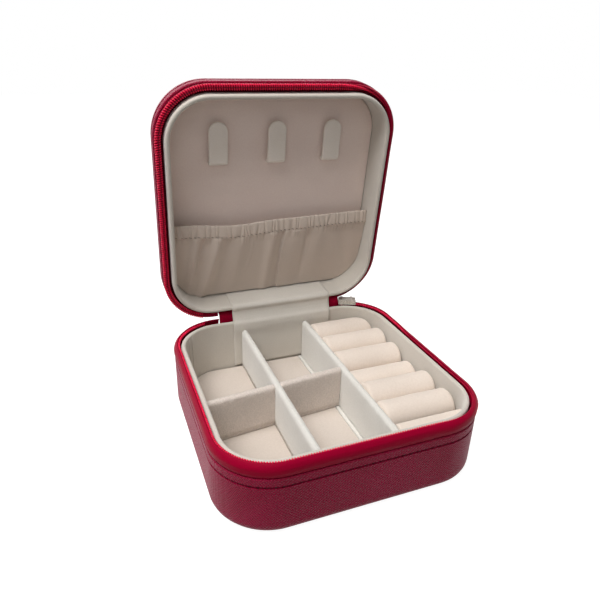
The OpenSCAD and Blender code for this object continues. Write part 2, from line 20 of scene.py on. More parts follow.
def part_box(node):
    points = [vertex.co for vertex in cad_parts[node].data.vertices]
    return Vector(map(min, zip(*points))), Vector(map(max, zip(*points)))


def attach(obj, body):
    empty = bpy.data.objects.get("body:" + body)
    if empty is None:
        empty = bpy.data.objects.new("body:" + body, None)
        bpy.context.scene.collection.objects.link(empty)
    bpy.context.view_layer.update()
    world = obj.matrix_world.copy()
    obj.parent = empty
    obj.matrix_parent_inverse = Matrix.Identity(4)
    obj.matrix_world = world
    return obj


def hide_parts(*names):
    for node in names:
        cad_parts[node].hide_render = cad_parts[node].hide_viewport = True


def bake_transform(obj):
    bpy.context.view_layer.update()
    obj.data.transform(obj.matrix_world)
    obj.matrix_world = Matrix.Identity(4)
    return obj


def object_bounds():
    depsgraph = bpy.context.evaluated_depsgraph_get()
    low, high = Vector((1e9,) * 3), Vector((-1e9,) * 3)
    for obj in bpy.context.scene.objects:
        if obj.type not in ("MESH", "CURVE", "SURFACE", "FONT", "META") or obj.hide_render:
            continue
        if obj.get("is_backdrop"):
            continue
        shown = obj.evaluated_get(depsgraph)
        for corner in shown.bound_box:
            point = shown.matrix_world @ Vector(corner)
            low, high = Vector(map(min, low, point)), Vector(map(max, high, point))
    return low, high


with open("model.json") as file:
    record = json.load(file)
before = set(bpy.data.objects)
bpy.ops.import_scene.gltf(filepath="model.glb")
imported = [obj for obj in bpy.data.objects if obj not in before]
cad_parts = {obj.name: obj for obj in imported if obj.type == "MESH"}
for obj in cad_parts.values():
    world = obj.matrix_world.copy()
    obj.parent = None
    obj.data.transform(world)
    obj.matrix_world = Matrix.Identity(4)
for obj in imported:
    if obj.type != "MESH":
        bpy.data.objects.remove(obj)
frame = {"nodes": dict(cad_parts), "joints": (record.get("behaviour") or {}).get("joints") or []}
nodes = frame["nodes"]
cad_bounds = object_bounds()

# %% [markdown]
# ## Driving sizes
#
# Everything below is worked out in millimetres, because that is how a case maker thinks,
# and turned into metres only when a mesh is made. The outside size, the hinge line and
# the angle of the open lid are read from the frame, so that the soft pieces stay in
# step with the solids. Only a few sizes can't be read off a bounding box, such as the
# corner radius, and they are written here once.

# %% Driving sizes
MM = 0.001


def span(node):
    """Lowest and highest corner of a solid at rest, in millimetres."""
    low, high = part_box(node)
    return np.array(low) / MM, np.array(high) / MM


half = span("base_cover")[1][0]
corner_r = 21.0
straight = half - corner_r
cover_edge_z = span("base_cover")[1][2]
hinge = next(j for j in frame["joints"] if j["name"] == "lid_hinge")
hinge_y = hinge["pos_m"][1] / MM
hinge_z = hinge["pos_m"][2] / MM
open_angle = math.radians(-hinge["range_deg"][0])
closed_top_z = 45.4
lid_edge_z = closed_top_z - 9.6
floor_top = span("floor_pad")[1][2]
rim_z = span("base_lining")[1][2]
print(f"box {2 * half:.1f} mm square, hinge line at y {hinge_y:.1f}, z {hinge_z:.1f}")
print(f"lid stands open {math.degrees(open_angle):.0f} degrees, base rim at {rim_z:.1f}")

# %% [markdown]
# ## Small helpers
#
# A case like this is made of closed bands that run round one rounded square, so the
# first helper walks that outline and gives evenly spaced points with their outward
# directions. The next ones turn a grid of points into a mesh and draw a smooth path
# through a few stops. Another swings points from the closed lid to the open one, so
# that each lid piece can be thought out flat and closed, as it is made at the bench. The
# last puts a finished piece on its body and hides the solids that it stands for.

# %% Walk round the rounded square
def outline_length(offset):
    """Length of the outline that lies the given distance inside the outside face."""
    return 8 * straight + 2 * math.pi * (corner_r - offset)


def walk(offset, s):
    """Points and outward directions at distances s along the outline at that offset."""
    r = corner_r - offset
    quarter = 2 * straight + math.pi * r / 2
    s = np.mod(np.asarray(s, float), 4 * quarter)
    q = (s // quarter).astype(int)
    t = s - q * quarter
    bend = np.clip((t - 2 * straight) / r, 0, math.pi / 2)
    x = np.where(t < 2 * straight, straight + r, straight + r * np.cos(bend))
    y = np.where(t < 2 * straight, t - straight, straight + r * np.sin(bend))
    turn = q * math.pi / 2
    c, n = np.cos(turn), np.sin(turn)
    ox, oy = np.cos(bend + turn), np.sin(bend + turn)
    return np.stack([x * c - y * n, x * n + y * c], 1), np.stack([ox, oy], 1)


print(f"outside outline is {outline_length(0):.0f} mm long")


# %% Make meshes from grids of points
def make_mesh(name, points, faces, material, smooth=True, closed=True, swung=False):
    """A mesh object from points in millimetres, swung to the open lid where asked."""
    mesh = bpy.data.meshes.new(name)
    places = swing(points) if swung else np.asarray(points, float)
    mesh.from_pydata([tuple(p) for p in places * MM], [], faces)
    if closed:
        bm = bmesh.new()
        bm.from_mesh(mesh)
        bmesh.ops.recalc_face_normals(bm, faces=bm.faces)
        bm.to_mesh(mesh)
        bm.free()
    mesh.polygons.foreach_set("use_smooth", [smooth] * len(mesh.polygons))
    piece = bpy.data.objects.new(name, mesh)
    bpy.context.scene.collection.objects.link(piece)
    mesh.materials.append(material)
    return piece


def grid_faces(rows, columns, wrap_rows=False, wrap_columns=False, first=0):
    """Quads of a grid of points laid out row by row."""
    faces = []
    for i in range(rows if wrap_rows else rows - 1):
        for k in range(columns if wrap_columns else columns - 1):
            a = first + i * columns + k
            b = first + i * columns + (k + 1) % columns
            c = first + ((i + 1) % rows) * columns + (k + 1) % columns
            d = first + ((i + 1) % rows) * columns + k
            faces.append((a, b, c, d))
    return faces


def tube_faces(rows, columns, first=0):
    """Faces of a tube of closed rings, with a cap at each end."""
    caps = [
        tuple(first + k for k in range(columns)),
        tuple(first + (rows - 1) * columns + k for k in reversed(range(columns))),
    ]
    return grid_faces(rows, columns, wrap_columns=True, first=first) + caps


def smooth_path(stops, step):
    """Evenly spaced points on a smooth curve through the stops."""
    stops = np.array(stops, float)
    run = np.concatenate([[0], np.cumsum(np.linalg.norm(np.diff(stops, axis=0), axis=1))])
    slope = np.gradient(stops, run, axis=0)
    at = np.arange(0, run[-1], step / 4)
    i = np.clip(np.searchsorted(run, at, side="right") - 1, 0, len(run) - 2)
    h = (run[i + 1] - run[i])[:, None]
    t = ((at - run[i]) / h[:, 0])[:, None]
    fine = (
        (2 * t**3 - 3 * t**2 + 1) * stops[i] + (t**3 - 2 * t**2 + t) * h * slope[i]
        + (-2 * t**3 + 3 * t**2) * stops[i + 1] + (t**3 - t**2) * h * slope[i + 1]
    )
    far = np.concatenate([[0], np.cumsum(np.linalg.norm(np.diff(fine, axis=0), axis=1))])
    even = np.arange(0, far[-1], step)
    return np.column_stack([np.interp(even, far, fine[:, 0]), np.interp(even, far, fine[:, 1])])


def swing(points):
    """Carries points of the closed lid to the open lid."""
    p = np.array(points, float)
    y, z = p[..., 1] - hinge_y, p[..., 2] - hinge_z
    c, s = math.cos(open_angle), math.sin(open_angle)
    p[..., 1] = hinge_y + c * y + s * z
    p[..., 2] = hinge_z - s * y + c * z
    return p


def path_normals(path):
    """Directions at right angles to a path of (y, z) points."""
    ahead = np.gradient(path, axis=0)
    ahead /= np.linalg.norm(ahead, axis=1)[:, None]
    return np.column_stack([ahead[:, 1], -ahead[:, 0]])


def dress(piece, body, slot, *stands_for):
    """Puts a finished piece on its body and hides the solids that it stands for."""
    if body is not None:
        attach(piece, body)
    if stands_for:
        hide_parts(*stands_for)
    print(piece.name, "faces", len(piece.data.polygons))
    return piece


# %% [markdown]
# ## Finishes
#
# Each finish is one procedural material. A node tree could be clicked together in the
# shader editor. Written down, it is easier to read and to repeat. Small helpers keep
# the trees short: they start a material, add a node and set its sockets, and mix
# patterns into a colour or a height. Noise sizes are given per metre, so a scale of
# 1000 means features of about a millimetre.

# %% Node helpers
def colour(r, g, b):
    """A colour as read off a screen, 0 to 255, as the linear value a shader wants."""
    linear = [v / 255 / 12.92 if v <= 10 else ((v / 255 + 0.055) / 1.055) ** 2.4 for v in (r, g, b)]
    return (*linear, 1.0)


def start_material(name, rough, sheen=0.0, specular=0.5, metal=0.0):
    """A new material, its node tree and its principled shader."""
    made = bpy.data.materials.new(name)
    made.use_nodes = True
    shader = made.node_tree.nodes["Principled BSDF"]
    shader.inputs["Roughness"].default_value = rough
    shader.inputs["Metallic"].default_value = metal
    shader.inputs["Specular IOR Level"].default_value = specular
    shader.inputs["Sheen Weight"].default_value = sheen
    shader.inputs["Sheen Roughness"].default_value = 0.6
    return made, made.node_tree, shader


def add(tree, kind, **settings):
    """A new node. Settings name its properties, or its sockets with spaces as underscores."""
    node = tree.nodes.new("ShaderNode" + kind)
    for key, value in settings.items():
        if hasattr(node, key):
            setattr(node, key, value)
        else:
            node.inputs[key.replace("_", " ")].default_value = value
    return node


def place_coords(tree, scale=(1, 1, 1), turn=(0, 0, 0)):
    """Object coordinates in metres, scaled and turned."""
    source = add(tree, "TexCoord")
    mapping = add(tree, "Mapping", Scale=scale, Rotation=turn)
    tree.links.new(source.outputs["Object"], mapping.inputs["Vector"])
    return mapping.outputs["Vector"]


def grain(tree, coords, scale, detail=4.0, rough=0.55):
    """A noise pattern with the given scale."""
    made = add(tree, "TexNoise", Scale=scale, Detail=detail, Roughness=rough)
    tree.links.new(coords, made.inputs["Vector"])
    return made.outputs["Fac"]


def between(tree, amount, low, high, start=0.35, end=0.65):
    """A colour that runs from low to high as amount runs from start to end."""
    ramp = add(tree, "ValToRGB")
    ramp.color_ramp.elements[0].position = start
    ramp.color_ramp.elements[0].color = low
    ramp.color_ramp.elements[1].position = end
    ramp.color_ramp.elements[1].color = high
    tree.links.new(amount, ramp.inputs["Fac"])
    return ramp.outputs["Color"]


def add_height(tree, heights):
    """The weighted sum of several height patterns, as (output, weight) pairs."""
    total = None
    for output, weight in heights:
        term = add(tree, "Math", operation="MULTIPLY")
        tree.links.new(output, term.inputs[0])
        term.inputs[1].default_value = weight
        if total is None:
            total = term.outputs[0]
            continue
        both = add(tree, "Math", operation="ADD")
        tree.links.new(total, both.inputs[0])
        tree.links.new(term.outputs[0], both.inputs[1])
        total = both.outputs[0]
    return total


def bump(tree, shader, height, distance_mm):
    """Lights the surface as if the height pattern stood out by that distance."""
    made = add(tree, "Bump", Strength=1.0, Distance=distance_mm * MM)
    tree.links.new(height, made.inputs["Height"])
    tree.links.new(made.outputs["Normal"], shader.inputs["Normal"])


print("node helpers ready")


# %% [markdown]
# ### Embossed leather
#
# The cover is a coated leather pressed with a crossed hatch, its lines about three
# quarters of a millimetre apart, that catches the light at a low angle. Two sets of fine
# waves lean left and right on the walls, and a third crosses them on the flat faces.
# Slow noise breaks the waves up, darkens the colour a little in places and keeps the
# surface from looking printed.

# %% Leather
# The turns of the three sets of waves, in radians, and how much each adds.
hatch_sets = (((0, 0.9, 0.6), 0.5), ((0, -0.9, 0.6), 0.5), ((0, 0, -0.785), 0.35))


def leather_finish():
    made, tree, shader = start_material("leather", rough=0.42, specular=0.11, sheen=0.15)
    shader.inputs["Sheen Tint"].default_value = colour(255, 150, 175)
    shader.inputs["Sheen Roughness"].default_value = 0.3
    coords = place_coords(tree)
    hatch = []
    for turn, weight in hatch_sets:
        turned = place_coords(tree, turn=turn)
        wave = add(tree, "TexWave", Scale=420.0, Distortion=2.2, Detail=2.0, Detail_Scale=0.7)
        tree.links.new(turned, wave.inputs["Vector"])
        hatch.append((wave.outputs["Fac"], weight))
    pores = grain(tree, coords, 1500, 5.0)
    slow = grain(tree, coords, 60, 3.0)
    bump(tree, shader, add_height(tree, hatch + [(pores, 0.7), (slow, 0.25)]), 0.19)
    deep, light = colour(134, 7, 46), colour(144, 11, 54)
    tree.links.new(between(tree, slow, deep, light), shader.inputs["Base Color"])
    return made


leather = leather_finish()
print("leather made")


# %% [markdown]
# ### Linings and padded cloths
#
# The linings, pads, dividers and rolls are covered in a brushed microfibre. It has no
# weave to see, only a short nap: a soft sheen at low angles, a fine grainy bump and a
# slow drift of tone. One function makes them all. Each covering gets its own grain,
# because a roll is fluffier than a wall lining, and its own tone. The panel and hook
# cloths are lighter than the other creams: painted light for their forward-facing faces.

# %% Brushed cloths
def brushed_finish(name, dark, light, grain_mm, depth_mm, rough=0.85, sheen=0.35):
    made, tree, shader = start_material(name, rough=rough, sheen=sheen, specular=0.15)
    coords = place_coords(tree)
    nap = grain(tree, coords, 1000 / grain_mm / 2.5, 6.0, 0.62)
    soft = grain(tree, coords, 45, 2.0)
    bump(tree, shader, add_height(tree, [(nap, 1.0), (soft, 0.8)]), depth_mm)
    tone = add_height(tree, [(nap, 0.55), (soft, 0.45)])
    tree.links.new(between(tree, tone, dark, light, 0.36, 0.62), shader.inputs["Base Color"])
    return made


lining = brushed_finish("lining", colour(197, 189, 177), colour(206, 199, 188), 0.2, 0.02, 0.7, 0.5)
pad_cloth = brushed_finish("pad_cloth", colour(200, 187, 175), colour(210, 198, 187), 0.25, 0.02)
roll_cloth = brushed_finish("roll_cloth", colour(221, 206, 192), colour(230, 216, 203), 0.3, 0.03)
divider_cloth = brushed_finish("divider_cloth", colour(211, 207, 199), colour(221, 218, 211), 0.3, 0.02)
# The panel and hook cloths are lighter than the other creams: painted light for their forward-facing faces.
panel_cloth = brushed_finish("panel_cloth", colour(236, 216, 206), colour(243, 225, 215), 0.22, 0.02)
hook_cloth = brushed_finish("hook_cloth", colour(238, 228, 216), colour(245, 236, 226), 0.2, 0.02)
strap_cloth = brushed_finish("strap_cloth", colour(203, 196, 185), colour(212, 206, 196), 0.2, 0.02)
print("brushed cloths made")


# %% [markdown]
# ### Pearly grained cloth
#
# The loose cross divider shows a coarser, slightly pearly grain. It is the same nap with
# larger flecks that glint. A cell pattern gives the flecks, and a roughness that falls
# from the middle of a cell to its edge gives the glint.

# %% Pearly grain
def pearly_finish():
    made, tree, shader = start_material("pearly_cloth", rough=0.6, sheen=0.6, specular=0.5)
    coords = place_coords(tree)
    cells = add(tree, "TexVoronoi", Scale=1500.0)
    tree.links.new(coords, cells.inputs["Vector"])
    flecks = cells.outputs["Distance"]
    nap = grain(tree, coords, 1700, 5.0, 0.6)
    bump(tree, shader, add_height(tree, [(flecks, 0.9), (nap, 1.0)]), 0.12)
    tone = add_height(tree, [(flecks, 0.5), (nap, 0.6)])
    pale, dark = colour(218, 204, 193), colour(202, 189, 178)
    tree.links.new(between(tree, tone, dark, pale, 0.3, 0.75), shader.inputs["Base Color"])
    gloss = add(tree, "MapRange", From_Min=0.2, From_Max=0.8, To_Min=0.75, To_Max=0.4)
    tree.links.new(flecks, gloss.inputs["Value"])
    tree.links.new(gloss.outputs["Result"], shader.inputs["Roughness"])
    return made


pearly_cloth = pearly_finish()
print("pearly cloth made")


# %% [markdown]
# ### Zip tape, teeth and thread
#
# The tape is woven polyester with a slight shine. Its weave is far finer than its ribs,
# and the ribs are modelled, so the material only adds the fine cross weave. The teeth
# are a nylon coil, glossier than the tape and painted a brighter red, partly as painted
# light for the lit teeth along the lid's top edge. The sewing thread is twisted and dull;
# its dark colour is partly its own and partly painted shade for the stitch holes.

# %% Zip and thread finishes
bands_per_metre = 3.2  # of a wave pattern with a scale of 1


def woven_finish(name, dark, light, rough, pitch_mm=0.35, depth_mm=0.04, sheen=0.15, specular=0.3):
    made, tree, shader = start_material(name, rough=rough, sheen=sheen, specular=specular)
    weave = []
    for turn in ((0, 0, 0.785), (0, 1.571, 0)):
        turned = place_coords(tree, turn=turn)
        wave = add(tree, "TexWave", Scale=1000 / pitch_mm / bands_per_metre, Distortion=0.6, Detail=1.0)
        tree.links.new(turned, wave.inputs["Vector"])
        weave.append((wave.outputs["Fac"], 0.5))
    fuzz = grain(tree, place_coords(tree), 900, 4.0)
    height = add_height(tree, weave + [(fuzz, 0.4)])
    bump(tree, shader, height, depth_mm)
    tree.links.new(between(tree, height, dark, light, 0.3, 0.9), shader.inputs["Base Color"])
    return made


def nylon_finish():
    made, tree, shader = start_material("coil_nylon", rough=0.45, specular=0.25)
    scuffs = grain(tree, place_coords(tree), 500, 3.0)
    # The red is much brighter than the tape's: partly painted light for the lit teeth along the lid's top
    # edge.
    tone = between(tree, scuffs, colour(222, 14, 60), colour(246, 30, 80))
    tree.links.new(tone, shader.inputs["Base Color"])
    bump(tree, shader, scuffs, 0.03)
    return made


zip_cloth = woven_finish(
    "zip_tape_cloth", colour(140, 0, 36), colour(158, 0, 45), 0.42,
    pitch_mm=0.22, depth_mm=0.02, sheen=0.0, specular=0.05,
)
# A dark copy of the tape cloth: painted shade for the shadowed gap between the zip and the lining.
shaded_turned_tape = woven_finish(
    "shaded_turned_tape", colour(66, 2, 18), colour(88, 5, 28), 0.7, sheen=0.0, specular=0.05,
)
coil_nylon = nylon_finish()
# The thread's dark colour is partly its own and partly painted shade for the holes that the stitches sink
# into.
thread = woven_finish(
    "thread", colour(66, 2, 18), colour(88, 5, 28), 0.7,
    pitch_mm=0.3, depth_mm=0.06, sheen=0.0, specular=0.15,
)
pocket_cloth = woven_finish(
    "pocket_cloth", colour(204, 188, 175), colour(214, 199, 186), 0.8, pitch_mm=0.2, depth_mm=0.006,
)
hem_thread_cloth = woven_finish(
    "hem_thread_cloth", colour(120, 104, 92), colour(142, 126, 112), 0.8, pitch_mm=0.2,
)
elastic_cloth = woven_finish(
    "elastic_cloth", colour(206, 200, 190), colour(226, 221, 212), 0.75, pitch_mm=0.7, depth_mm=0.08,
)
print("zip, thread and pocket cloths made")


# %% [markdown]
# ### Cast metal and board
#
# The slider and its pull are small die castings with a grey, frosted plating: flecks of
# light and dark and a soft shine. The board is seen only at its cut edges.

# %% Metal and board finishes
def metal_finish():
    made, tree, shader = start_material("frosted_metal", rough=0.6, metal=0.45)
    coords = place_coords(tree)
    flecks = grain(tree, coords, 1900, 6.0, 0.7)
    bump(tree, shader, flecks, 0.08)
    tone = between(tree, flecks, colour(160, 152, 142), colour(222, 215, 205), 0.36, 0.62)
    tree.links.new(tone, shader.inputs["Base Color"])
    return made


def board_finish():
    made, tree, shader = start_material("board", rough=0.9, specular=0.2)
    fibres = grain(tree, place_coords(tree, scale=(1, 1, 6)), 700, 5.0)
    bump(tree, shader, fibres, 0.05)
    tone = between(tree, fibres, colour(140, 128, 112), colour(170, 158, 140))
    tree.links.new(tone, shader.inputs["Base Color"])
    return made


frosted_metal = metal_finish()
board = board_finish()
print("materials:", len(bpy.data.materials))

# %% [markdown]
# ## Leather covers and boards
#
# The two covers are already right as solids: walls, rolled foot and crown, and the
# groove that the sewing lies in. They only take their leather. The boards between cover
# and lining take the board finish. They hardly show, but a reader who looks into the gap
# should see something real there. The slider and its pull keep their shape too, apart
# from a small bevel that takes the sharpness off their cast edges.

# %% Finish the solids that keep their shape
def refinish(node, material):
    """Gives a solid of the frame a finish and leaves its mesh alone."""
    piece = nodes[node]
    piece.data.materials.clear()
    piece.data.materials.append(material)


for node, material in (
    ("base_cover", leather),
    ("lid_cover", leather),
    ("base_frame", board),
    ("lid_frame", board),
    ("base_lining", lining),
    ("lid_lining", lining),
    ("zip_slider", frosted_metal),
    ("zip_pull", frosted_metal),
):
    refinish(node, material)
for node in ("zip_slider", "zip_pull"):
    bevel = nodes[node].modifiers.new("cast_edges", "BEVEL")
    bevel.width = 0.3 * MM
    bevel.segments = 3
print("solids finished")

# %% [markdown]
# ## Stitches
#
# A lockstitch shows as a row of short, tight dashes that sink into the leather at both
# ends. A dashed texture would look painted on, so each stitch is a small capsule of
# thread, tilted a little as the twist of the thread makes it lie, along the groove in
# the cover.

# %% Sewn rows
stitch_pitch = 2.8
stitch_len = 2.3
stitch_inset = 3.3
stitch_depth = 0.3
stitch_r = 0.25


def stitch_row(name, z, swung):
    count = round(outline_length(0) / stitch_pitch)
    spots, outs = walk(stitch_depth, np.arange(count) * outline_length(stitch_depth) / count)
    rings, around = 6, 8
    points, faces = [], []
    for spot, out in zip(spots, outs):
        along = np.array([-out[1], out[0]])
        first = len(points)
        for i in range(rings):
            t = -1 + 2 * i / (rings - 1)
            radius = stitch_r * math.sqrt(max(1 - abs(t) ** 3, 0.02))
            sink = 0.22 * abs(t) ** 3
            for k in range(around):
                a = 2 * math.pi * k / around
                depth = 0.7 * radius * math.cos(a) - sink
                x, y = spot + along * (t * stitch_len / 2) + out * depth
                points.append((x, y, z + radius * math.sin(a) + 0.12 * t))
        faces += tube_faces(rings, around, first)
    return make_mesh(name, points, faces, thread, swung=swung)


dress(stitch_row("base_stitches", cover_edge_z - stitch_inset, False), "base", "thread", "base_stitching")
dress(stitch_row("lid_stitches", lid_edge_z + stitch_inset, True), "lid", "thread", "lid_stitching")

# %% [markdown]
# ## The zip tape
#
# The tape is sewn in behind the leather and curls where it comes free, because the coil
# sewn to its inner face is stiffer than the cloth. The base's tape bulges over the
# leather's edge and curls in towards the rim. The lid's tape flares out over the leather
# along the left side and the top, which turns its teeth to face whoever opens the box.
# Along the right side both are tucked in further, and one function blends between the
# two sections there. The tape is a thin band swept round the outline: a curled section,
# fine ribs where the coil's sewing draws the cloth, and shallow streaks where the cloth
# is pulled.

# %% Curled tape
coil_pitch = 0.9
tape_face = 1.0
tape_back = 1.6
tape_t = 0.5
tape_mid = (tape_face + tape_back) / 2
tape_line = half - tape_mid
tape_end_gap = 0.3
straight_end = 1.5
rib_h = 0.03
streak_h = 0.12
tuck_start = 22.0
tuck_fade = 12.0
spine_low_x, spine_high_x = span("hinge_spine_base")[0][0], span("hinge_spine_base")[1][0]
fine_step = 0.05


def open_stretch(offset, x_low, x_high, step):
    """Distances along the outline that leave out the back wall from x_low to x_high."""
    total = outline_length(offset)
    s = np.arange(0, total, fine_step)
    spots = walk(offset, s)[0]
    out = (spots[:, 1] > 0) & (spots[:, 0] > x_low) & (spots[:, 0] < x_high)
    start = s[np.where(out)[0][-1]] + fine_step
    length = total - (out.sum() * fine_step + 2 * fine_step)
    return start + np.arange(0, length, step)


def curl(tilt, up):
    """Along the tape to its free edge, and out of its inner face, in (offset, z)."""
    along = np.stack([-np.sin(tilt), up * np.cos(tilt)], -1)
    inward = np.stack([np.cos(tilt), up * np.sin(tilt)], -1)
    return along, inward


def tuck(spots, back_end):
    """How far the tape is tucked in: fully along the right side, not at all behind back_end."""
    sideways = np.clip((spots[:, 0] - tuck_start) / (tape_line - tuck_start), 0, 1)
    forward = np.clip((back_end - spots[:, 1]) / tuck_fade, 0, 1)
    part = sideways * forward
    return part * part * (3 - 2 * part)


def even_section(stops, count):
    """A smooth section through the stops as evenly spaced points, with its inner normals."""
    fine = smooth_path(stops, 0.1)
    far = np.concatenate([[0], np.cumsum(np.linalg.norm(np.diff(fine, axis=0), axis=1))])
    even = np.linspace(0, far[-1], count)
    section = np.column_stack([np.interp(even, far, fine[:, 0]), np.interp(even, far, fine[:, 1])])
    ahead = np.gradient(section, axis=0)
    return section, ahead / np.linalg.norm(ahead, axis=1)[:, None]


def curled_tape(name, sewn_z, leather_z, plain, tucked, up, swung):
    count = 24
    shapes = []
    for belly, free_edge, tilt in (plain, tucked[:3]):
        along = curl(tilt, up)[0]
        free = np.array(free_edge)
        sewn = [(tape_mid, sewn_z), (tape_mid, (sewn_z + leather_z) / 2), (tape_mid, leather_z)]
        shapes.append(even_section(sewn + belly + [free - along * straight_end, free], count))
    s = open_stretch(tape_mid, spine_low_x - tape_end_gap, spine_high_x + tape_end_gap, coil_pitch / 4)
    spots, outs = walk(tape_mid, s)
    part = tuck(spots, tucked[3])[:, None]
    rib = np.cos(2 * math.pi * s / coil_pitch)
    rows = []
    for side in (-1, 1):
        for i in range(count) if side < 0 else reversed(range(count)):
            place = shapes[0][0][i] + (shapes[1][0][i] - shapes[0][0][i]) * part
            ahead = shapes[0][1][i] + (shapes[1][1][i] - shapes[0][1][i]) * part
            ahead /= np.linalg.norm(ahead, axis=1)[:, None]
            free_part = np.clip(up * (place[:, 1] - leather_z), 0, 3)
            streak = np.array([noise.noise(Vector((d * 0.07, i * 0.7, 0))) for d in s])
            push = -rib_h * np.clip(free_part - 2.5, 0, 1) * rib
            push = push - streak_h * streak * np.clip(free_part / 1.5, 0, 1)
            depth = side * tape_t / 2 + push
            offset = place[:, 0] + up * ahead[:, 1] * depth
            high = place[:, 1] - up * ahead[:, 0] * depth
            rows.append(np.column_stack([spots - outs * (offset - tape_mid)[:, None], high]))
    points = np.stack(rows, 1).reshape(-1, 3)
    return make_mesh(name, points, tube_faces(len(s), 2 * count), zip_cloth, swung=swung)


# Each section is its belly, its free edge and its tilt. A tucked one also says how far
# back it reaches. Places are (offset, z).
base_sewn_z = span("base_zip_tape")[0][2] + 0.05
lid_sewn_z = lid_edge_z + 4.15
base_crease = [(0.5, cover_edge_z + 0.5), (0.2, cover_edge_z + 1.3)]
lid_crease = [(0.5, lid_edge_z - 0.6), (0.05, lid_edge_z - 1.7)]
flare = [(tape_mid + 0.05, lid_edge_z - 1.7), (tape_mid + 0.5, lid_edge_z - 2.8)]
base_plain = (base_crease, (1.45, 28.7), math.radians(-42))
base_tucked = (base_crease + [(0.1, 26.2)], (1.9, 28.3), math.radians(-66), 20.0)
lid_plain = (flare, (0.15, lid_edge_z - 3.9), math.radians(74))
lid_tucked = (lid_crease, (1.9, lid_edge_z - 3.7), math.radians(-66), 62.0)
base_tape = curled_tape("base_tape", base_sewn_z, cover_edge_z, base_plain, base_tucked, 1, False)
lid_tape = curled_tape("lid_tape", lid_sewn_z, lid_edge_z, lid_plain, lid_tucked, -1, True)
dress(base_tape, "base", "zip_tape", "base_zip_tape")
dress(lid_tape, "lid", "zip_tape", "lid_zip_tape")


# %% [markdown]
# ## The coil of teeth
#
# This zip has no separate metal teeth. Its teeth are the turns of one nylon wire, wound
# into a flat coil and sewn to the inner face of the tape, with each turn pressed wider
# at its tip so that it can hook into the other side. So each row is one wire swept
# along a flattened, squared helix, and its radius swells once a turn, at the tip. A
# filler cord lies inside the turns and keeps the gaps between them closed. A row of
# sewing runs over the coil and dips between its turns.

# %% Nylon coils
coil_reach = 1.0
tucked_back = 0.35
coil_stand = 0.28
wire_r = 0.25


def coil_line(s, plain, tucked, peep, up):
    """Each point's place on the outline, its coil middle in (offset, z) and its two ways."""
    spots, outs = walk(tape_mid, s)
    part = tuck(spots, tucked[3])
    along, inward = curl(plain[2] + (tucked[2] - plain[2]) * part, up)
    free = np.array(plain[1]) + (np.array(tucked[1]) - np.array(plain[1])) * part[:, None]
    past_edge = peep * (1 - part) - tucked_back * part
    middle = free + along * (past_edge - coil_reach - wire_r)[:, None]
    middle = middle + inward * (tape_t / 2 + coil_stand + wire_r)
    return spots, outs, middle, along, inward


def sweep(name, s, line, offsets, swung, material):
    """A tube whose rings are given as moves along and inward from the coil's middle line."""
    spots, outs, middle, along, inward = line
    rings = []
    for move_along, move_in in offsets:
        place = middle + along * move_along[:, None] + inward * move_in[:, None]
        rings.append(np.column_stack([spots - outs * (place[:, 0] - tape_mid)[:, None], place[:, 1]]))
    points = np.stack(rings, 1).reshape(-1, 3)
    return make_mesh(name, points, tube_faces(len(s), len(offsets)), material, swung=swung)


def coil(name, plain, tucked, peep, up, x_low, x_high, swung):
    steps, around = 12, 6
    s = open_stretch(tape_mid, x_low, x_high, coil_pitch / steps)
    turn = 2 * math.pi * s / coil_pitch
    reach = coil_reach * np.sign(np.cos(turn)) * np.abs(np.cos(turn)) ** 0.5
    stand = coil_stand * np.sign(np.sin(turn)) * np.abs(np.sin(turn)) ** 0.6
    spots, outs, middle, along, inward = coil_line(s, plain, tucked, peep, up)
    place = middle + along * reach[:, None] + inward * stand[:, None]
    centre = np.column_stack([spots - outs * (place[:, 0] - tape_mid)[:, None], place[:, 1]])
    radius = wire_r + 0.05 * np.clip(np.cos(turn), 0, 1) ** 2
    ahead = np.gradient(centre, axis=0)
    ahead /= np.linalg.norm(ahead, axis=1)[:, None]
    side = np.cross(ahead, np.column_stack([-outs[:, 1], outs[:, 0], np.zeros(len(s))]))
    side /= np.linalg.norm(side, axis=1)[:, None]
    up_side = np.cross(side, ahead)
    angles = [2 * math.pi * k / around for k in range(around)]
    rings = [centre + radius[:, None] * (math.cos(a) * side + math.sin(a) * up_side) for a in angles]
    points = np.stack(rings, 1).reshape(-1, 3)
    return make_mesh(name, points, tube_faces(len(s), around), coil_nylon, swung=swung)


def cord(name, wide, deep, stand, dip, material, plain, tucked, peep, up, x_low, x_high, swung):
    """A cord along the coil that dips between the turns; wide and deep are its half sizes."""
    steps, around = 4, 8
    s = open_stretch(tape_mid, x_low, x_high, coil_pitch / steps)
    dips = stand + dip * np.cos(2 * math.pi * s / coil_pitch)
    flat = np.zeros(len(s))
    angles = [2 * math.pi * k / around for k in range(around)]
    offsets = [(flat + wide * math.sin(a), dips + deep * math.cos(a)) for a in angles]
    return sweep(name, s, coil_line(s, plain, tucked, peep, up), offsets, swung, material)


filler = (coil_reach - 0.1, coil_stand * 0.6, 0.0, 0.0, zip_cloth)
sewing = (0.13, 0.13, coil_stand + wire_r - 0.02, 0.08, thread)
base_zip = (base_plain, base_tucked, 0.35, 1, -34.0, 34.0, False)
lid_zip = (lid_plain, lid_tucked, 0.3, -1, -34.0, 41.5, True)
dress(coil("base_coil", *base_zip), "base", "zip_teeth", "base_zip_teeth")
dress(coil("lid_coil", *lid_zip), "lid", "zip_teeth", "lid_zip_teeth")
dress(cord("base_coil_filler", *filler, *base_zip), "base", "zip_teeth")
dress(cord("lid_coil_filler", *filler, *lid_zip), "lid", "zip_teeth")
dress(cord("base_coil_thread", *sewing, *base_zip), "base", "thread")
dress(cord("lid_coil_thread", *sewing, *lid_zip), "lid", "thread")
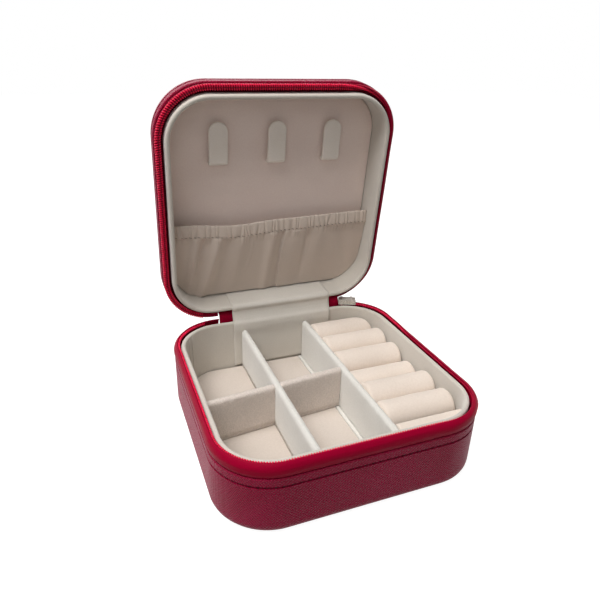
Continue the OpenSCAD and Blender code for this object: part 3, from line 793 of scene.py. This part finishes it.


# %% [markdown]
# ## The turned-in tape
#
# Looked at from above, there is a narrow dark red gap between the zip and the lining.
# The tape's flange is turned over the board there and glued. A thin band of tape cloth
# covers the board's top edge on the base and in the lid. It takes a dark copy of the tape
# cloth: painted shade for the gap, which lies in shadow.

# %% Flange over the board
def flange(name, inner, z_low, z_high, swung):
    count = 240
    rows = []
    for offset, z in ((tape_back, z_low), (inner, z_low), (inner, z_high), (tape_back, z_high)):
        spots = walk(offset, np.arange(count) * outline_length(offset) / count)[0]
        rows.append(np.column_stack([spots, np.full(count, z)]))
    points = np.stack(rows, 1).reshape(-1, 3)
    # The flange takes the dark tape cloth, painted shade for the gap.
    return make_mesh(name, points, grid_faces(count, 4, True, True), shaded_turned_tape, smooth=False, swung=swung)


board_top = cover_edge_z + 1.0
lid_board_low = lid_edge_z - 2.0
flange_t = 0.25
base_flange_in = 2.78
lid_flange_in = 4.15
dress(flange("base_flange", base_flange_in, board_top, board_top + flange_t, False), "base", "zip_tape")
dress(flange("lid_flange", lid_flange_in, lid_board_low - flange_t, lid_board_low, True), "lid", "zip_tape")

# %% [markdown]
# ## Cushions with a rounded edge
#
# Floor pads, the bed under the rings, the ledge in front of them and the lid's panel are
# all thin foam under cloth. Seen from above, each is a slice of the rounded square room.
# The next helper cuts that slice, and the one after it lofts rings inwards from the
# outline, dropping at the edge and crowning slightly towards the middle. Cloth
# simulation would puff these pads too much, since real ones are pulled tight.

# %% Slices of the room and pads
def slice_of_room(inset, low, high):
    """Outline of the part between two corners of the room that lies inset from outside."""
    room = [tuple(p) for p in walk(inset, np.arange(0, outline_length(inset), 0.5))[0]]
    for axis, limit, keep in ((0, low[0], 1), (0, high[0], -1), (1, low[1], 1), (1, high[1], -1)):
        kept = []
        for a, b in zip(room, room[1:] + room[:1]):
            ina, inb = keep * (a[axis] - limit) >= 0, keep * (b[axis] - limit) >= 0
            if ina:
                kept.append(a)
            if ina != inb:
                t = (limit - a[axis]) / (b[axis] - a[axis])
                kept.append(tuple(np.array(a) + t * (np.array(b) - np.array(a))))
        room = kept
    return even_loop(np.array(room), 1.0)


def even_loop(loop, step):
    """The same closed outline with evenly spaced points."""
    loop = np.vstack([loop, loop[:1]])
    gaps = np.linalg.norm(np.diff(loop, axis=0), axis=1)
    loop = loop[np.append(gaps > 1e-6, True)]
    gaps = gaps[gaps > 1e-6]
    run = np.concatenate([[0], np.cumsum(gaps)])
    count = max(int(run[-1] / step), 12)
    at = np.arange(count) / count * run[-1]
    return np.column_stack([np.interp(at, run, loop[:, 0]), np.interp(at, run, loop[:, 1])])


def pad(name, outline, z_low, z_top, edge, crown, material, swung=False):
    """A closed pad: straight sides, a rounded edge and a slightly crowned top."""
    middle = (outline.min(0) + outline.max(0)) / 2
    reach = (outline.max(0) - outline.min(0)) / 2
    up = 1 if z_top > z_low else -1
    rings = [(0.0, z_low), (0.0, z_top - up * edge)]
    for a in (0.5, 1.0, 1.57):
        rings.append((edge * (1 - math.cos(a)), z_top - up * edge * (1 - math.sin(a))))
    for t in (0.08, 0.2, 0.4, 0.65):
        rings.append((edge + reach.min() * t, z_top + up * crown * math.sin(math.pi / 2 * t)))
    points = []
    for inset, z in rings:
        shrink = 1 - inset / reach
        loop = middle + (outline - middle) * np.maximum(shrink, 0.02)
        points.append(np.column_stack([loop, np.full(len(loop), z)]))
    faces = tube_faces(len(rings), len(outline))
    return make_mesh(name, np.vstack(points), faces, material, swung=swung)


print("pad helpers ready")

# %% [markdown]
# ## Floor pad, ring bed and front ledge
#
# The floor of the left part is one cream pad. It stops a little short of the divider
# beside the rings, where the divider's cloth foot is glued down, which leaves a fine
# line. The bed under the rolls and the ledge in front of them are made the same way.

# %% Floors and ledge
wall_in = 4.6
room_half = half - wall_in
room_r = corner_r - wall_in
back_y = 44.6
pad_low_z = 2.85
beyond = 60
divider_box = span("ring_divider")
ring_low_x = span("ring_bed")[0][0]
ledge = span("ring_ledge")
fit = 0.3
floor_cut = divider_box[0][0] - 1.7
floor_room = slice_of_room(wall_in + fit, (-beyond, -beyond), (floor_cut, back_y))
floor = pad("floor_cushion", floor_room, pad_low_z, floor_top, 0.45, 0.0, pad_cloth)
dress(floor, "base", "pad_cloth", "floor_pad")

foot_end = divider_box[0][0] - 0.02
foot_room = slice_of_room(wall_in + fit, (floor_cut + 0.15, -beyond), (foot_end, back_y))
foot = pad("divider_foot", foot_room, pad_low_z, floor_top + 0.02, 0.25, 0.0, divider_cloth)
dress(foot, "base", "divider_cloth")

bed_room = slice_of_room(wall_in + fit, (ring_low_x, -beyond), (beyond, back_y))
bed = pad("ring_cushion", bed_room, pad_low_z, floor_top, 0.4, 0.0, pad_cloth)
dress(bed, "base", "pad_cloth", "ring_bed")

ledge_room = slice_of_room(wall_in + fit, (ring_low_x, -beyond), (beyond, ledge[1][1]))
ledge_pad = pad("ledge_cushion", ledge_room, floor_top + 0.02, ledge[1][2], 0.7, 0.0, roll_cloth)
dress(ledge_pad, "base", "divider_cloth", "ring_ledge")


# %% [markdown]
# ## Dividers
#
# Each divider is a board wrapped in thin foam and cloth, with a soft round top. The
# cloth is glued by hand, so the top edges wander a little and pucker. The board is swept
# as a cross section along its length: coarse enough to stay light, fine enough for the
# puckers, which are smooth noise and strongest along the two top edges.

# %% Divider boards
def divider(
    name, start, end, z_low, z_high, thick, material, pucker,
    slot_from=-1, slot_to=-1, slot_z=0, slot_on_top=False,
):
    """A wrapped board from start to end, with a slot where another board crosses it."""
    start, end = np.array(start, float), np.array(end, float)
    length = np.linalg.norm(end - start)
    along = (end - start) / length
    across = np.array([-along[1], along[0]])
    s = np.unique(np.concatenate([
        np.linspace(0, 0.6, 4), np.arange(0.9, length - 0.8, 0.45), length - np.linspace(0, 0.6, 4),
        [slot_from - 0.01, slot_from + 0.01, slot_to - 0.01, slot_to + 0.01],
    ]))
    s = s[(s >= 0) & (s <= length)]
    heights = np.concatenate([np.linspace(0, 0.8, 6), [0.87]])
    sides, tops = len(heights), 7
    points = []
    for d in s:
        edge = min(d, length - d)
        slim = 1 - 0.12 * max(0, 1 - edge / 0.5) ** 2
        low, high = z_low, z_high
        if slot_from < d < slot_to:
            low, high = (z_low, slot_z) if slot_on_top else (slot_z, z_high)
        r = thick / 2 * slim
        ring = [(-r, low + (high - r - low) * h) for h in heights]
        ring += [(-r * math.cos(a), high - r + r * math.sin(a)) for a in np.linspace(0, math.pi, tops)]
        ring += [(r, low + (high - r - low) * h) for h in heights[::-1]]
        for u, z in ring:
            place = start + along * d + across * u
            near_top = math.exp(-((z - (high - 1.6)) / 2.2) ** 2)
            wobble = noise.noise(Vector((place[0] * 0.8, place[1] * 0.8, z * 0.8)))
            wobble = wobble * pucker * (0.25 + near_top)
            place = place + across * wobble * (1 if u > 0 else -1) * min(edge, 1)
            drop = 0.6 * noise.noise(Vector((place[0] * 0.45 + 7, place[1] * 0.45, 3))) * pucker
            points.append((place[0], place[1], z + (drop if z > high - 2 * r else 0)))
    return make_mesh(name, points, tube_faces(len(s), 2 * sides + tops), material)


divider_top = divider_box[1][2]
middle_x = (span("middle_divider")[0][0] + span("middle_divider")[1][0]) / 2
thick = divider_box[1][0] - divider_box[0][0]
lap_z = (floor_top + divider_top) / 2
cross_y = -0.9
skew = math.radians(6)
lap = (thick + 0.35) / 2

ring_x = (divider_box[0][0] + divider_box[1][0]) / 2
ring_wall = divider(
    "ring_side_divider", (ring_x, -room_half + 0.2), (ring_x, back_y + 0.1),
    floor_top - 2.0, divider_top, thick, divider_cloth, 0.12,
)
dress(ring_wall, "base", "divider_cloth", "ring_divider")

middle_wall = divider(
    "middle_loose_divider", (middle_x, -room_half + 0.3), (middle_x, back_y),
    floor_top + 0.1, divider_top, thick, divider_cloth, 0.08,
    cross_y + room_half - 0.3 - lap, cross_y + room_half - 0.3 + lap, lap_z + 0.1, False,
)
dress(middle_wall, "divider_cross", "divider_cloth", "middle_divider")

cross_way = np.array([math.cos(skew), math.sin(skew)])
crossing = np.array([middle_x, cross_y])
left_reach = (room_half - 0.35 + middle_x) / cross_way[0] - 0.1
right_reach = (ring_x - thick / 2 - 0.15 - middle_x) / cross_way[0] - 0.1
cross_wall = divider(
    "cross_loose_divider", crossing - cross_way * left_reach, crossing + cross_way * right_reach,
    floor_top + 0.35, divider_top - 0.05, thick, pearly_cloth, 0.22,
    left_reach - lap, left_reach + lap, lap_z - 0.1, True,
)
dress(cross_wall, "divider_cross", "divider_cloth", "cross_divider")

# %% [markdown]
# ## Ring rolls
#
# Six foam rolls lie side by side, so that a ring slips down between two of them. Each is
# a round bar squeezed flat where it touches its neighbours, narrower at its foot, with
# soft shoulders at both ends. A roll stops a little short of the wall, and the first one
# is cut to the round corner. The section is swept from end to end, and slow noise keeps
# the cloth from looking turned on a lathe.

# %% Rolls
roll_gap_at_wall = 1.3


def wall_x(y, inset):
    """Where the right wall's lining is at that depth, less an inset."""
    r = room_r - inset
    beyond = max(abs(y) - straight, 0)
    return straight + math.sqrt(max(r * r - beyond * beyond, 0.0))


def ring_roll(number):
    low, high = span(f"ring_roll_{number}")
    radius = 6.5
    middle = (low[1] + high[1]) / 2 if number > 1 else high[1] + 0.4 - radius
    centre_z = high[2] - radius
    ring = []
    for a in np.radians(np.arange(0, 360, 11.25)):
        u, w = radius * math.cos(a), radius * math.sin(a)
        if w < 0:
            u = math.copysign(min(abs(u), radius) * (1 - 0.2 * (-w / radius)), u)
            w = w / radius * (centre_z - floor_top - 0.03)
        ring.append((u * 0.995, w))
    stations = np.concatenate([[0, 0.25, 0.6, 1.1], np.arange(1.8, 27.0, 1.2), [27.6, 28.2, 28.6, 28.85]])
    stations = stations / stations[-1]
    points = []
    for t in stations:
        edge = min(t, 1 - t) * 28.5
        shrink = 1 - 0.13 * max(0, 1 - edge / 1.1) ** 2
        for u, w in ring:
            y = min(middle + u * shrink, high[1])
            x_end = wall_x(y, roll_gap_at_wall) if y > straight else room_half - roll_gap_at_wall
            x = low[0] + 0.05 + (x_end - low[0] - 0.05) * t
            z = centre_z + w * (shrink if w > 0 else 1)
            soft = 0.16 * noise.noise(Vector((x * 0.22, y * 0.3 + number * 9, z * 0.2)))
            points.append((x, y, max(z + soft * (w > 0), floor_top + 0.03)))
    return make_mesh(f"roll_{number}", points, tube_faces(len(stations), len(ring)), roll_cloth)


for number in range(1, 7):
    piece = dress(ring_roll(number), "base", "roll_cloth", f"ring_roll_{number}")

# %% [markdown]
# ## Lid panel
#
# The lid's back is a thin foam panel under the same kind of cloth, tucked in behind the
# lining all round. It is a pad like the floor, laid out on the closed lid and swung up.

# %% Panel in the lid
lid_wall_in = 5.4
lid_half = half - lid_wall_in
lid_r = corner_r - lid_wall_in
panel_z = closed_top_z - 3.6
panel_room = slice_of_room(lid_wall_in + 0.15, (-beyond, -beyond), (beyond, beyond))
panel = pad("lid_cushion", panel_room, panel_z + 1.2, panel_z, 0.5, 0.35, panel_cloth, swung=True)
dress(panel, "lid", "panel_cloth", "lid_panel")

# %% [markdown]
# ## Necklace hooks
#
# The three hooks are tongues of covered board. Each is fixed at its square end, stands
# off the panel by its own thickness and has a round free end, so that a chain can be
# slipped behind it. A tongue is one strip with a small section, swept along an L: out of
# the panel, round a tight bend and up to the tip, where its width follows a half circle.

# %% Hook tongues
hook_down = 10.3
hook_len = 17.2
hook_gap = 1.6
hook_t = 1.5
hook_bend_r = 0.8


def hook_tongue(name, x, node):
    low, high = span(node)
    width = high[0] - low[0]
    tip_y, root_y = -(lid_half - hook_down), -(lid_half - hook_down - hook_len)
    face = panel_z - hook_gap - hook_t
    t_half = 0.72
    centre_z = face + 0.78
    path = [(root_y - t_half, panel_z + 0.6), (root_y - t_half, centre_z + 1.0)]
    for a in np.linspace(0, math.pi / 2, 5)[1:]:
        over, down = hook_bend_r * (1 - math.cos(a)), hook_bend_r * (1 - math.sin(a))
        path.append((root_y - t_half - over, centre_z + down))
    start_y = path[-1][0]
    bulge = width / 2
    flat_end = tip_y + bulge
    path += [(y, centre_z) for y in np.linspace(start_y - 0.8, flat_end, 9)]
    path += [(flat_end - bulge * math.sin(a), centre_z) for a in np.linspace(0.15, 1.5, 11)]
    path = np.array(path)
    points = []
    for (y, z), n in zip(path, path_normals(path)):
        into_tip = max(flat_end - y, 0) / bulge
        w = width / 2 * math.sqrt(max(1 - into_tip ** 2, 0.004))
        th = t_half * (1 - 0.25 * into_tip ** 6)
        for a in np.radians(np.arange(0, 360, 22.5)):
            u = math.copysign(abs(math.cos(a)) ** 0.25, math.cos(a)) * w
            v = math.copysign(abs(math.sin(a)) ** 0.5, math.sin(a)) * th
            points.append((x + u, y + n[0] * v, z + n[1] * v))
    made = make_mesh(name, points, tube_faces(len(path), 16), hook_cloth, swung=True)
    dress(made, "lid", "hook_cloth", node)


for name, node in (
    ("hook_left", "necklace_hook_left"),
    ("hook_middle", "necklace_hook_centre"),
    ("hook_right", "necklace_hook_right"),
):
    low, high = span(node)
    hook_tongue(name, (low[0] + high[0]) / 2, node)

# %% [markdown]
# ## Gathered pocket
#
# The pocket is a thin cloth whose top is turned over a flat elastic and sewn, and the
# elastic pulls it into ruffles. A real one is cut wider than its mouth, by an amount
# that isn't known. The cloth made here is only about as wide as the mouth, so its folds
# are shallow. They fall below the hem and fade towards the foot, with one deep pleat
# just right of the middle and softer folds on both sides of it. Cloth simulation gives
# random folds. These have to stand where they stand, so the sheet is shaped from a list.

# %% Folds of the pocket
foot_y = lid_half - 1.0
hem_up = 38.2
hem_h = 5.8
hem_stand = 5.0
gather_pitch = 2.4
gather_lean = 2.4
foot_stand = 0.9


def hem_line(x):
    """Depth of the hem's upper edge, which sags most left of the middle."""
    sag_left = 1.9 * math.exp(-(((x + 18) / 15) ** 2))
    sag_right = 0.6 * math.exp(-(((x - 10) / 16) ** 2))
    return lid_half - hem_up + sag_left + sag_right


def lid_side_x(y, inset):
    """Half width of the lid's room at that depth, less an inset."""
    beyond = max(y - (lid_half - lid_r), 0)
    r = lid_r - inset
    return lid_half - lid_r + math.sqrt(max(r * r - beyond * beyond, 0.0))


# Each fold: x under the hem, x half way down, x at the foot, half width, height,
# and how much of the height is left at the foot.
soft_folds = (
    (-34.5, -36.4, -38.4, 1.9, 1.8, 0.5),
    (-31.2, -33.7, -35.4, 1.5, -1.3, 0.3),
    (-25.6, -28.2, -32.6, 2.2, 2.3, 0.45),
    (-20.8, -23.8, -27.5, 2.2, -1.1, 0.2),
    (-15.0, -16.5, -20.0, 3.0, 1.0, 0.2),
    (-0.6, -1.8, -3.0, 2.4, 1.6, 0.5),
    (10.0, 9.5, 8.5, 4.0, 0.8, 0.3),
    (16.4, 15.3, 14.4, 1.3, -1.1, 0.1),
    (21.5, 21.0, 20.0, 3.4, 0.8, 0.1),
    (33.0, 37.0, 41.0, 3.0, -0.7, 0.0),
)


def across_at(top, middle, foot, down):
    """A fold's place: a parabola through its three given places."""
    halfway = middle * 4 * down * (1 - down)
    return top * (1 - down) * (1 - 2 * down) + halfway + foot * down * (2 * down - 1)


def gathers(x, down):
    """Puffs between the hem's gathers: 0 in a groove and 1 on top of a puff."""
    place = (x - gather_lean * noise.noise(Vector((x * 0.3, 8.0, 0.0)))) / gather_pitch
    place += 0.55 * noise.noise(Vector((x * 0.16, 3.0, 0.0)))
    within = place - math.floor(place)
    return (1 - abs(2 * within - 1) ** 2.4) * (1 - down)


def stand_off(x, y):
    """How far the cloth stands out from the panel."""
    low_edge = hem_line(x) + hem_h
    down = min(max((y - low_edge) / (foot_y - low_edge), 0), 1)
    depth = foot_stand + (hem_stand - foot_stand) * (1 - down ** 1.25)
    for top, middle, foot, width, height, left in soft_folds:
        u = (x - across_at(top, middle, foot, down)) / width
        depth += height * (1 - (1 - left) * down) * min(1, 0.5 + 3 * down) * math.exp(-u * u)
    pleat = x - across_at(4.8, 3.1, 3.5, down)
    deep = min(1, 0.4 + 2.5 * down) * (1 - 0.45 * down)
    depth += deep * (-1.0 * math.exp(pleat / 2.6) if pleat < 0 else 1.0 * math.exp(-pleat / 6.0))
    crease = x - across_at(-10.2, -11.6, -20.0, down)
    depth += 0.25 * math.exp(-((crease / 0.5) ** 2)) * math.sin(math.pi * min(down / 0.62, 1))
    depth += 0.55 * gathers(x, min(1, (y - low_edge) / 3.6)) if y > low_edge else 0.0
    depth += 0.3 * noise.noise(Vector((x * 0.1, y * 0.1, 5.0))) * (1 - down)
    return max(depth, 0.2)


# %% Pocket cloth, hem and elastic
def pocket_sheet():
    across = np.linspace(-1, 1, 261)
    down = np.concatenate([np.linspace(0, 0.2, 10), np.linspace(0.23, 1, 26)])
    points = []
    for d in down:
        for u in across:
            start = hem_line(u * lid_half) + hem_h - 0.5
            y = start + (foot_y - start) * d
            x = u * lid_side_x(y, 0.25)
            points.append((x, y, panel_z - stand_off(x, y)))
    faces = grid_faces(len(down), len(across))
    return make_mesh("pocket_sheet", points, faces, pocket_cloth, closed=False, swung=True)


def ruffled_hem():
    x_values = np.linspace(-(lid_half - 0.25), lid_half - 0.25, 421)
    front = (0.0, 0.05, 0.14, 0.28, 0.44, 0.6, 0.74, 0.86, 0.95, 1.0)
    points = []
    for x in x_values:
        for part in front:
            lean = 2.6 * (part - 0.5)
            puff = gathers(x + lean * noise.noise(Vector((x * 0.21, 6.0, 0.0))), 0.0)
            swell = (0.25 + 0.75 * part) * puff * (1 - 0.55 * max(0, (part - 0.82) / 0.18))
            round_edge = 0.35 * max(0, 1 - part / 0.12) ** 2
            stand = hem_stand + 0.3 + 0.85 * swell - round_edge
            y = hem_line(x) + hem_h * part - 0.28 * puff * (1 - part)
            points.append((x, y, panel_z - stand))
        for part in (0.9, 0.5, 0.08):
            points.append((x, hem_line(x) + hem_h * part, panel_z - hem_stand + 0.75))
    count = len(front) + 3
    return make_mesh("pocket_hem", points, tube_faces(len(x_values), count), pocket_cloth, swung=True)


hem_stitch_from = -43.0
hem_stitch_to = 43.5
hem_stitch_pitch = 1.9


def hem_stitches():
    points, faces = [], []
    for x in np.arange(hem_stitch_from, hem_stitch_to, hem_stitch_pitch):
        y = hem_line(x) + hem_h * 0.88
        stand = hem_stand + 0.55 + 0.3 * gathers(x, 0.0)
        first = len(points)
        for t in (-0.6, -0.25, 0.25, 0.6):
            r = 0.16 * (1 - 0.5 * (abs(t) > 0.5))
            for a in np.radians(np.arange(0, 360, 60)):
                rise, out = r * math.cos(a), r * math.sin(a)
                points.append((x + t, y + 0.3 * t + rise, panel_z - stand - out))
        faces += tube_faces(4, 6, first)
    return make_mesh("hem_stitches", points, faces, hem_thread_cloth, swung=True)


def elastic_strip():
    points = []
    x_values = np.linspace(-(lid_half - 0.3), lid_half - 0.3, 90)
    for x in x_values:
        for part, out in ((0.16, -0.25), (0.16, 0.2), (0.82, 0.2), (0.82, -0.25)):
            points.append((x, hem_line(x) + hem_h * part, panel_z - hem_stand - out + 0.1))
    faces = tube_faces(len(x_values), 4)
    return make_mesh("elastic_strip", points, faces, elastic_cloth, smooth=False, swung=True)


sheet_piece = pocket_sheet()
dress(elastic_strip(), "lid", "elastic", "pocket_elastic")
dress(sheet_piece, "lid", "pocket_cloth", "lid_pocket")
hem = dress(ruffled_hem(), "lid", "pocket_cloth")
hem_thread = dress(hem_stitches(), "lid", "thread")

# %% [markdown]
# ## The cloth hinge strap
#
# Inside, one broad cloth strap covers the hinge. It is glued down the back wall of the
# base and over the hinge side of the lid's lining, and bends freely between them. The
# bend is creased from use. The strap is one thin closed ribbon along a path from floor to
# panel. Each point then follows the base, the open lid or a turn between them.

# %% Path of the strap
def open_place(y, z):
    """Where a point of the closed lid's section lies with the lid open."""
    return tuple(swing(np.array([0.0, y, z]))[1:])


base_wall_y = room_half - 0.27
lid_wall_y = lid_half - 0.27
lid_rim_z = lid_edge_z - 6.4
strap_stops = [
    (base_wall_y, floor_top + 0.4), (base_wall_y, 12.0), (base_wall_y, 20.0),
    (base_wall_y - 0.3, 25.2), (base_wall_y - 0.1, rim_z - 0.9),
    (base_wall_y + 0.8, rim_z + 0.4), (hinge_y - 2.3, rim_z + 1.4),
    (hinge_y - 1.7, hinge_z + 0.7), (hinge_y - 1.7, hinge_z + 2.0),
    open_place(hinge_y - 2.6, lid_rim_z - 0.4), open_place(lid_wall_y + 0.9, lid_rim_z - 0.45),
    open_place(lid_wall_y + 0.05, lid_rim_z + 0.4), open_place(lid_wall_y, lid_rim_z + 3),
    open_place(lid_wall_y, 36.5), open_place(lid_wall_y, panel_z - 0.35),
]
strap_path = smooth_path(strap_stops, 0.45)
print(f"strap is {len(strap_path) * 0.45:.0f} mm long from floor to panel")


# %% Strap with its creases
def hinge_turn(y, z):
    """How far the open lid's turn has gone at a point of the bending strip, in radians."""
    return open_angle * min(max((z - hinge_z + (y - hinge_y) * 2) / 3, 0), 1)


def ribbon(name, path, x_low, x_high, thickness, columns, material, crease, r=None):
    """A closed strip along a path, bent round the corner where a radius r is given."""
    xs = np.linspace(x_low, x_high, columns)
    points = []
    for (y, z), n in zip(path, path_normals(path)):
        near = math.exp(-(((z - (hinge_z + 0.2)) / 2.6) ** 2)) * crease
        top, under = [], []
        for x in xs:
            lean = 0.35 * noise.noise(Vector((x * 0.12, 1.0, 2.0)))
            wave = math.sin((z + lean * 3) * 5.9) + 0.7 * math.sin((z - lean * 2) * 10.3 + x * 0.11)
            wave = wave * (0.55 + 0.45 * noise.noise(Vector((x * 0.16, z * 0.2, 4.0))))
            out = near * wave
            back = 0.0 if r is None or x < straight else r - math.sqrt(r * r - (x - straight) ** 2)
            drop = back * math.cos(hinge_turn(y, z))
            shift = back * math.sin(hinge_turn(y, z))
            for side, face in ((-1, top), (1, under)):
                stand = out + side * thickness / 2
                face.append((x, y - drop + n[0] * stand, z + shift + n[1] * stand))
        points += top + under[::-1]
    return make_mesh(name, points, tube_faces(len(path), 2 * columns), material)


strap_box = span("hinge_strap_base")
strap = ribbon("hinge_strap", strap_path, strap_box[0][0], strap_box[1][0], 0.32, 44, strap_cloth, 0.05)
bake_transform(strap)
dress(strap, None, "hinge_cloth", "hinge_strap_base", "hinge_strap_lid")

# %% [markdown]
# ## The leather spine
#
# Outside, the same leather runs from the base's back to the lid's as the spine. It is
# sewn in behind both covers and bends in a narrow line between them. It is a ribbon too,
# of thicker stuff, with no creases. A thin facing of zip cloth lines its inner side, so
# that no light shows through beside the strap.

# %% Spine
spine_y = tape_line
spine_stops = [
    (spine_y, cover_edge_z - 4.0), (spine_y, cover_edge_z + 1), (spine_y, hinge_z - 2.6),
    (spine_y + 0.1, hinge_z - 1.0), (spine_y + 0.75, hinge_z + 0.1),
    open_place(spine_y, hinge_z + 2.2), open_place(spine_y, lid_edge_z - 1),
    open_place(spine_y, lid_edge_z + 4.0),
]
spine_path = smooth_path(spine_stops, 0.5)
spine_ends = (spine_low_x, spine_high_x)
spine = ribbon("hinge_spine", spine_path, *spine_ends, 0.56, 40, leather, 0.0, corner_r - 1.3)
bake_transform(spine)
dress(spine, None, "outer_leather", "hinge_spine_base", "hinge_spine_lid")

facing_path = spine_path - path_normals(spine_path) * 0.42
facing = ribbon("hinge_facing", facing_path, *spine_ends, 0.2, 40, zip_cloth, 0.0, corner_r - 1.7)
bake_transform(facing)
dress(facing, None, "zip_tape")

# %% [markdown]
# ## Lining seam
#
# The wall lining is one strip, joined in the back left corner with a narrow overlap. Two
# fine ridges down the wall show it. Each is a thin flattened bead set in the lining's face.

# %% Seam ridges
def seam_ridge(name, angle):
    centre = np.array([-straight, straight])
    out = np.array([math.cos(angle), math.sin(angle)])
    along = np.array([-out[1], out[0]])
    points = []
    for z in np.linspace(floor_top + 0.1, rim_z - 1.4, 12):
        for a in np.radians(np.arange(0, 360, 60)):
            reach = room_r - 0.02 - 0.12 * (1 + math.cos(a))
            spot = centre + out * reach + along * 0.2 * math.sin(a)
            points.append((spot[0], spot[1], z))
    dress(make_mesh(name, points, tube_faces(12, 6), lining), "base", "lining_cloth")


seam_ridge("seam_ridge_a", math.radians(146))
seam_ridge("seam_ridge_b", math.radians(137))

# %% [markdown]
# ## Camera
#
# The camera stands in front of the box, to its left and above it, close enough for the
# near corner to loom. Its place is written as the turn round the box, the height angle,
# a slight tilt of the frame, and the eye point. The three axes follow from the angles.

# %% Camera
turn = math.radians(-21.962)
height = math.radians(25.170)
tilt = math.radians(1.643)
eye = Vector((-75.439, -168.826, 142.691)) * MM
focal_px = 548.2
frame_px = 600
film_mm = 36.0

back = Vector((math.sin(turn) * math.cos(height), -math.cos(turn) * math.cos(height), math.sin(height)))
right = (-back).cross(Vector((0, 0, 1))).normalized()
above = right.cross(-back)
across_frame = right * math.cos(tilt) + above * math.sin(tilt)
up_frame = above * math.cos(tilt) - right * math.sin(tilt)

camera_data = bpy.data.cameras.new("camera")
camera = bpy.data.objects.new("camera", camera_data)
bpy.context.scene.collection.objects.link(camera)
camera_data.sensor_width = film_mm
camera_data.lens = focal_px * film_mm / frame_px
camera_data.clip_start = 0.01
camera.matrix_world = Matrix((
    (across_frame.x, up_frame.x, back.x, eye.x),
    (across_frame.y, up_frame.y, back.y, eye.y),
    (across_frame.z, up_frame.z, back.z, eye.z),
    (0, 0, 0, 1),
))
bpy.context.scene.camera = camera
print(f"lens {camera_data.lens:.1f} mm, eye {eye.length * 1000:.0f} mm from the box's middle")

# %% [markdown]
# ## Table and light
#
# The box stands on a plain white table in soft light from three round lamps. A broad one
# above and to the left does most of the work: it lights the floors and tops and leaves
# the faces that look forward in gentle shade. One behind lights the edges that face
# away, and a weak one in front opens the shadows. The world adds an even level. Rays
# from the camera, from a gloss and through glass see a white room and a table lifted to
# white, so that the background is white while the lamps stay at a plain level.

# %% Table
def seen_ray(tree):
    """1 for rays that the camera sees directly, in a gloss or through glass, otherwise 0."""
    path = add(tree, "LightPath")
    seen = path.outputs["Is Camera Ray"]
    for kind in ("Is Glossy Ray", "Is Transmission Ray"):
        either = add(tree, "Math", operation="MAXIMUM")
        tree.links.new(seen, either.inputs[0])
        tree.links.new(path.outputs[kind], either.inputs[1])
        seen = either.outputs[0]
    return seen


def table_finish(seen_level):
    made = bpy.data.materials.new("table")
    made.use_nodes = True
    tree = made.node_tree
    tree.nodes.clear()
    out = add(tree, "OutputMaterial")
    plain = add(tree, "BsdfDiffuse", Color=(0.3, 0.292, 0.288, 1))
    glow = add(tree, "Emission", Color=(1, 1, 1, 1), Strength=seen_level)
    both = add(tree, "AddShader")
    tree.links.new(plain.outputs[0], both.inputs[0])
    tree.links.new(glow.outputs[0], both.inputs[1])
    pick = add(tree, "MixShader")
    tree.links.new(seen_ray(tree), pick.inputs[0])
    tree.links.new(plain.outputs[0], pick.inputs[1])
    tree.links.new(both.outputs[0], pick.inputs[2])
    tree.links.new(pick.outputs[0], out.inputs["Surface"])
    return made


def table_top():
    reach = 1500.0
    level = -0.02
    corners = [(x * reach, y * reach, level) for x, y in ((-1, -1), (1, -1), (1, 1), (-1, 1))]
    finish = table_finish(0.94)
    make_mesh("table_top", corners, [(0, 1, 2, 3)], finish, smooth=False, closed=False)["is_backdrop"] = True


table_top()
print("table ready")


# %% Light
def soft_lamp(name, place, aim, size, power):
    data = bpy.data.lights.new(name, "AREA")
    data.shape = "DISK"
    data.size = size
    data.energy = power
    lamp = bpy.data.objects.new(name, data)
    bpy.context.scene.collection.objects.link(lamp)
    lamp.location = place
    lamp.rotation_euler = (Vector(aim) - Vector(place)).to_track_quat("-Z", "Y").to_euler()


soft_lamp("broad_lamp", (-0.27, -0.08, 0.67), (0, 0, 0.02), 0.45, 5.2)
soft_lamp("back_lamp", (0.05, 0.75, 0.42), (0, 0, 0.1), 0.6, 1.6)
soft_lamp("front_lamp", (-0.30, -0.70, 0.50), (0, 0, 0.04), 0.5, 0.5)

world = bpy.data.worlds.new("room")
bpy.context.scene.world = world
world.use_nodes = True
level = world.node_tree.nodes["Background"]
level.inputs["Color"].default_value = (1, 1, 1, 1)
pick = add(world.node_tree, "MapRange", To_Min=0.2, To_Max=1.0)
world.node_tree.links.new(seen_ray(world.node_tree), pick.inputs["Value"])
world.node_tree.links.new(pick.outputs["Result"], level.inputs["Strength"])
bpy.context.scene.view_settings.view_transform = "Standard"
print("lamps:", len(bpy.data.lights))

# %% Sizes and finish
seen_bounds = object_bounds()
for axis, name in enumerate("xyz"):
    solid_size = cad_bounds[1][axis] - cad_bounds[0][axis]
    dressed_size = seen_bounds[1][axis] - seen_bounds[0][axis]
    print(name, "solids", round(solid_size, 4), "dressed", round(dressed_size, 4))
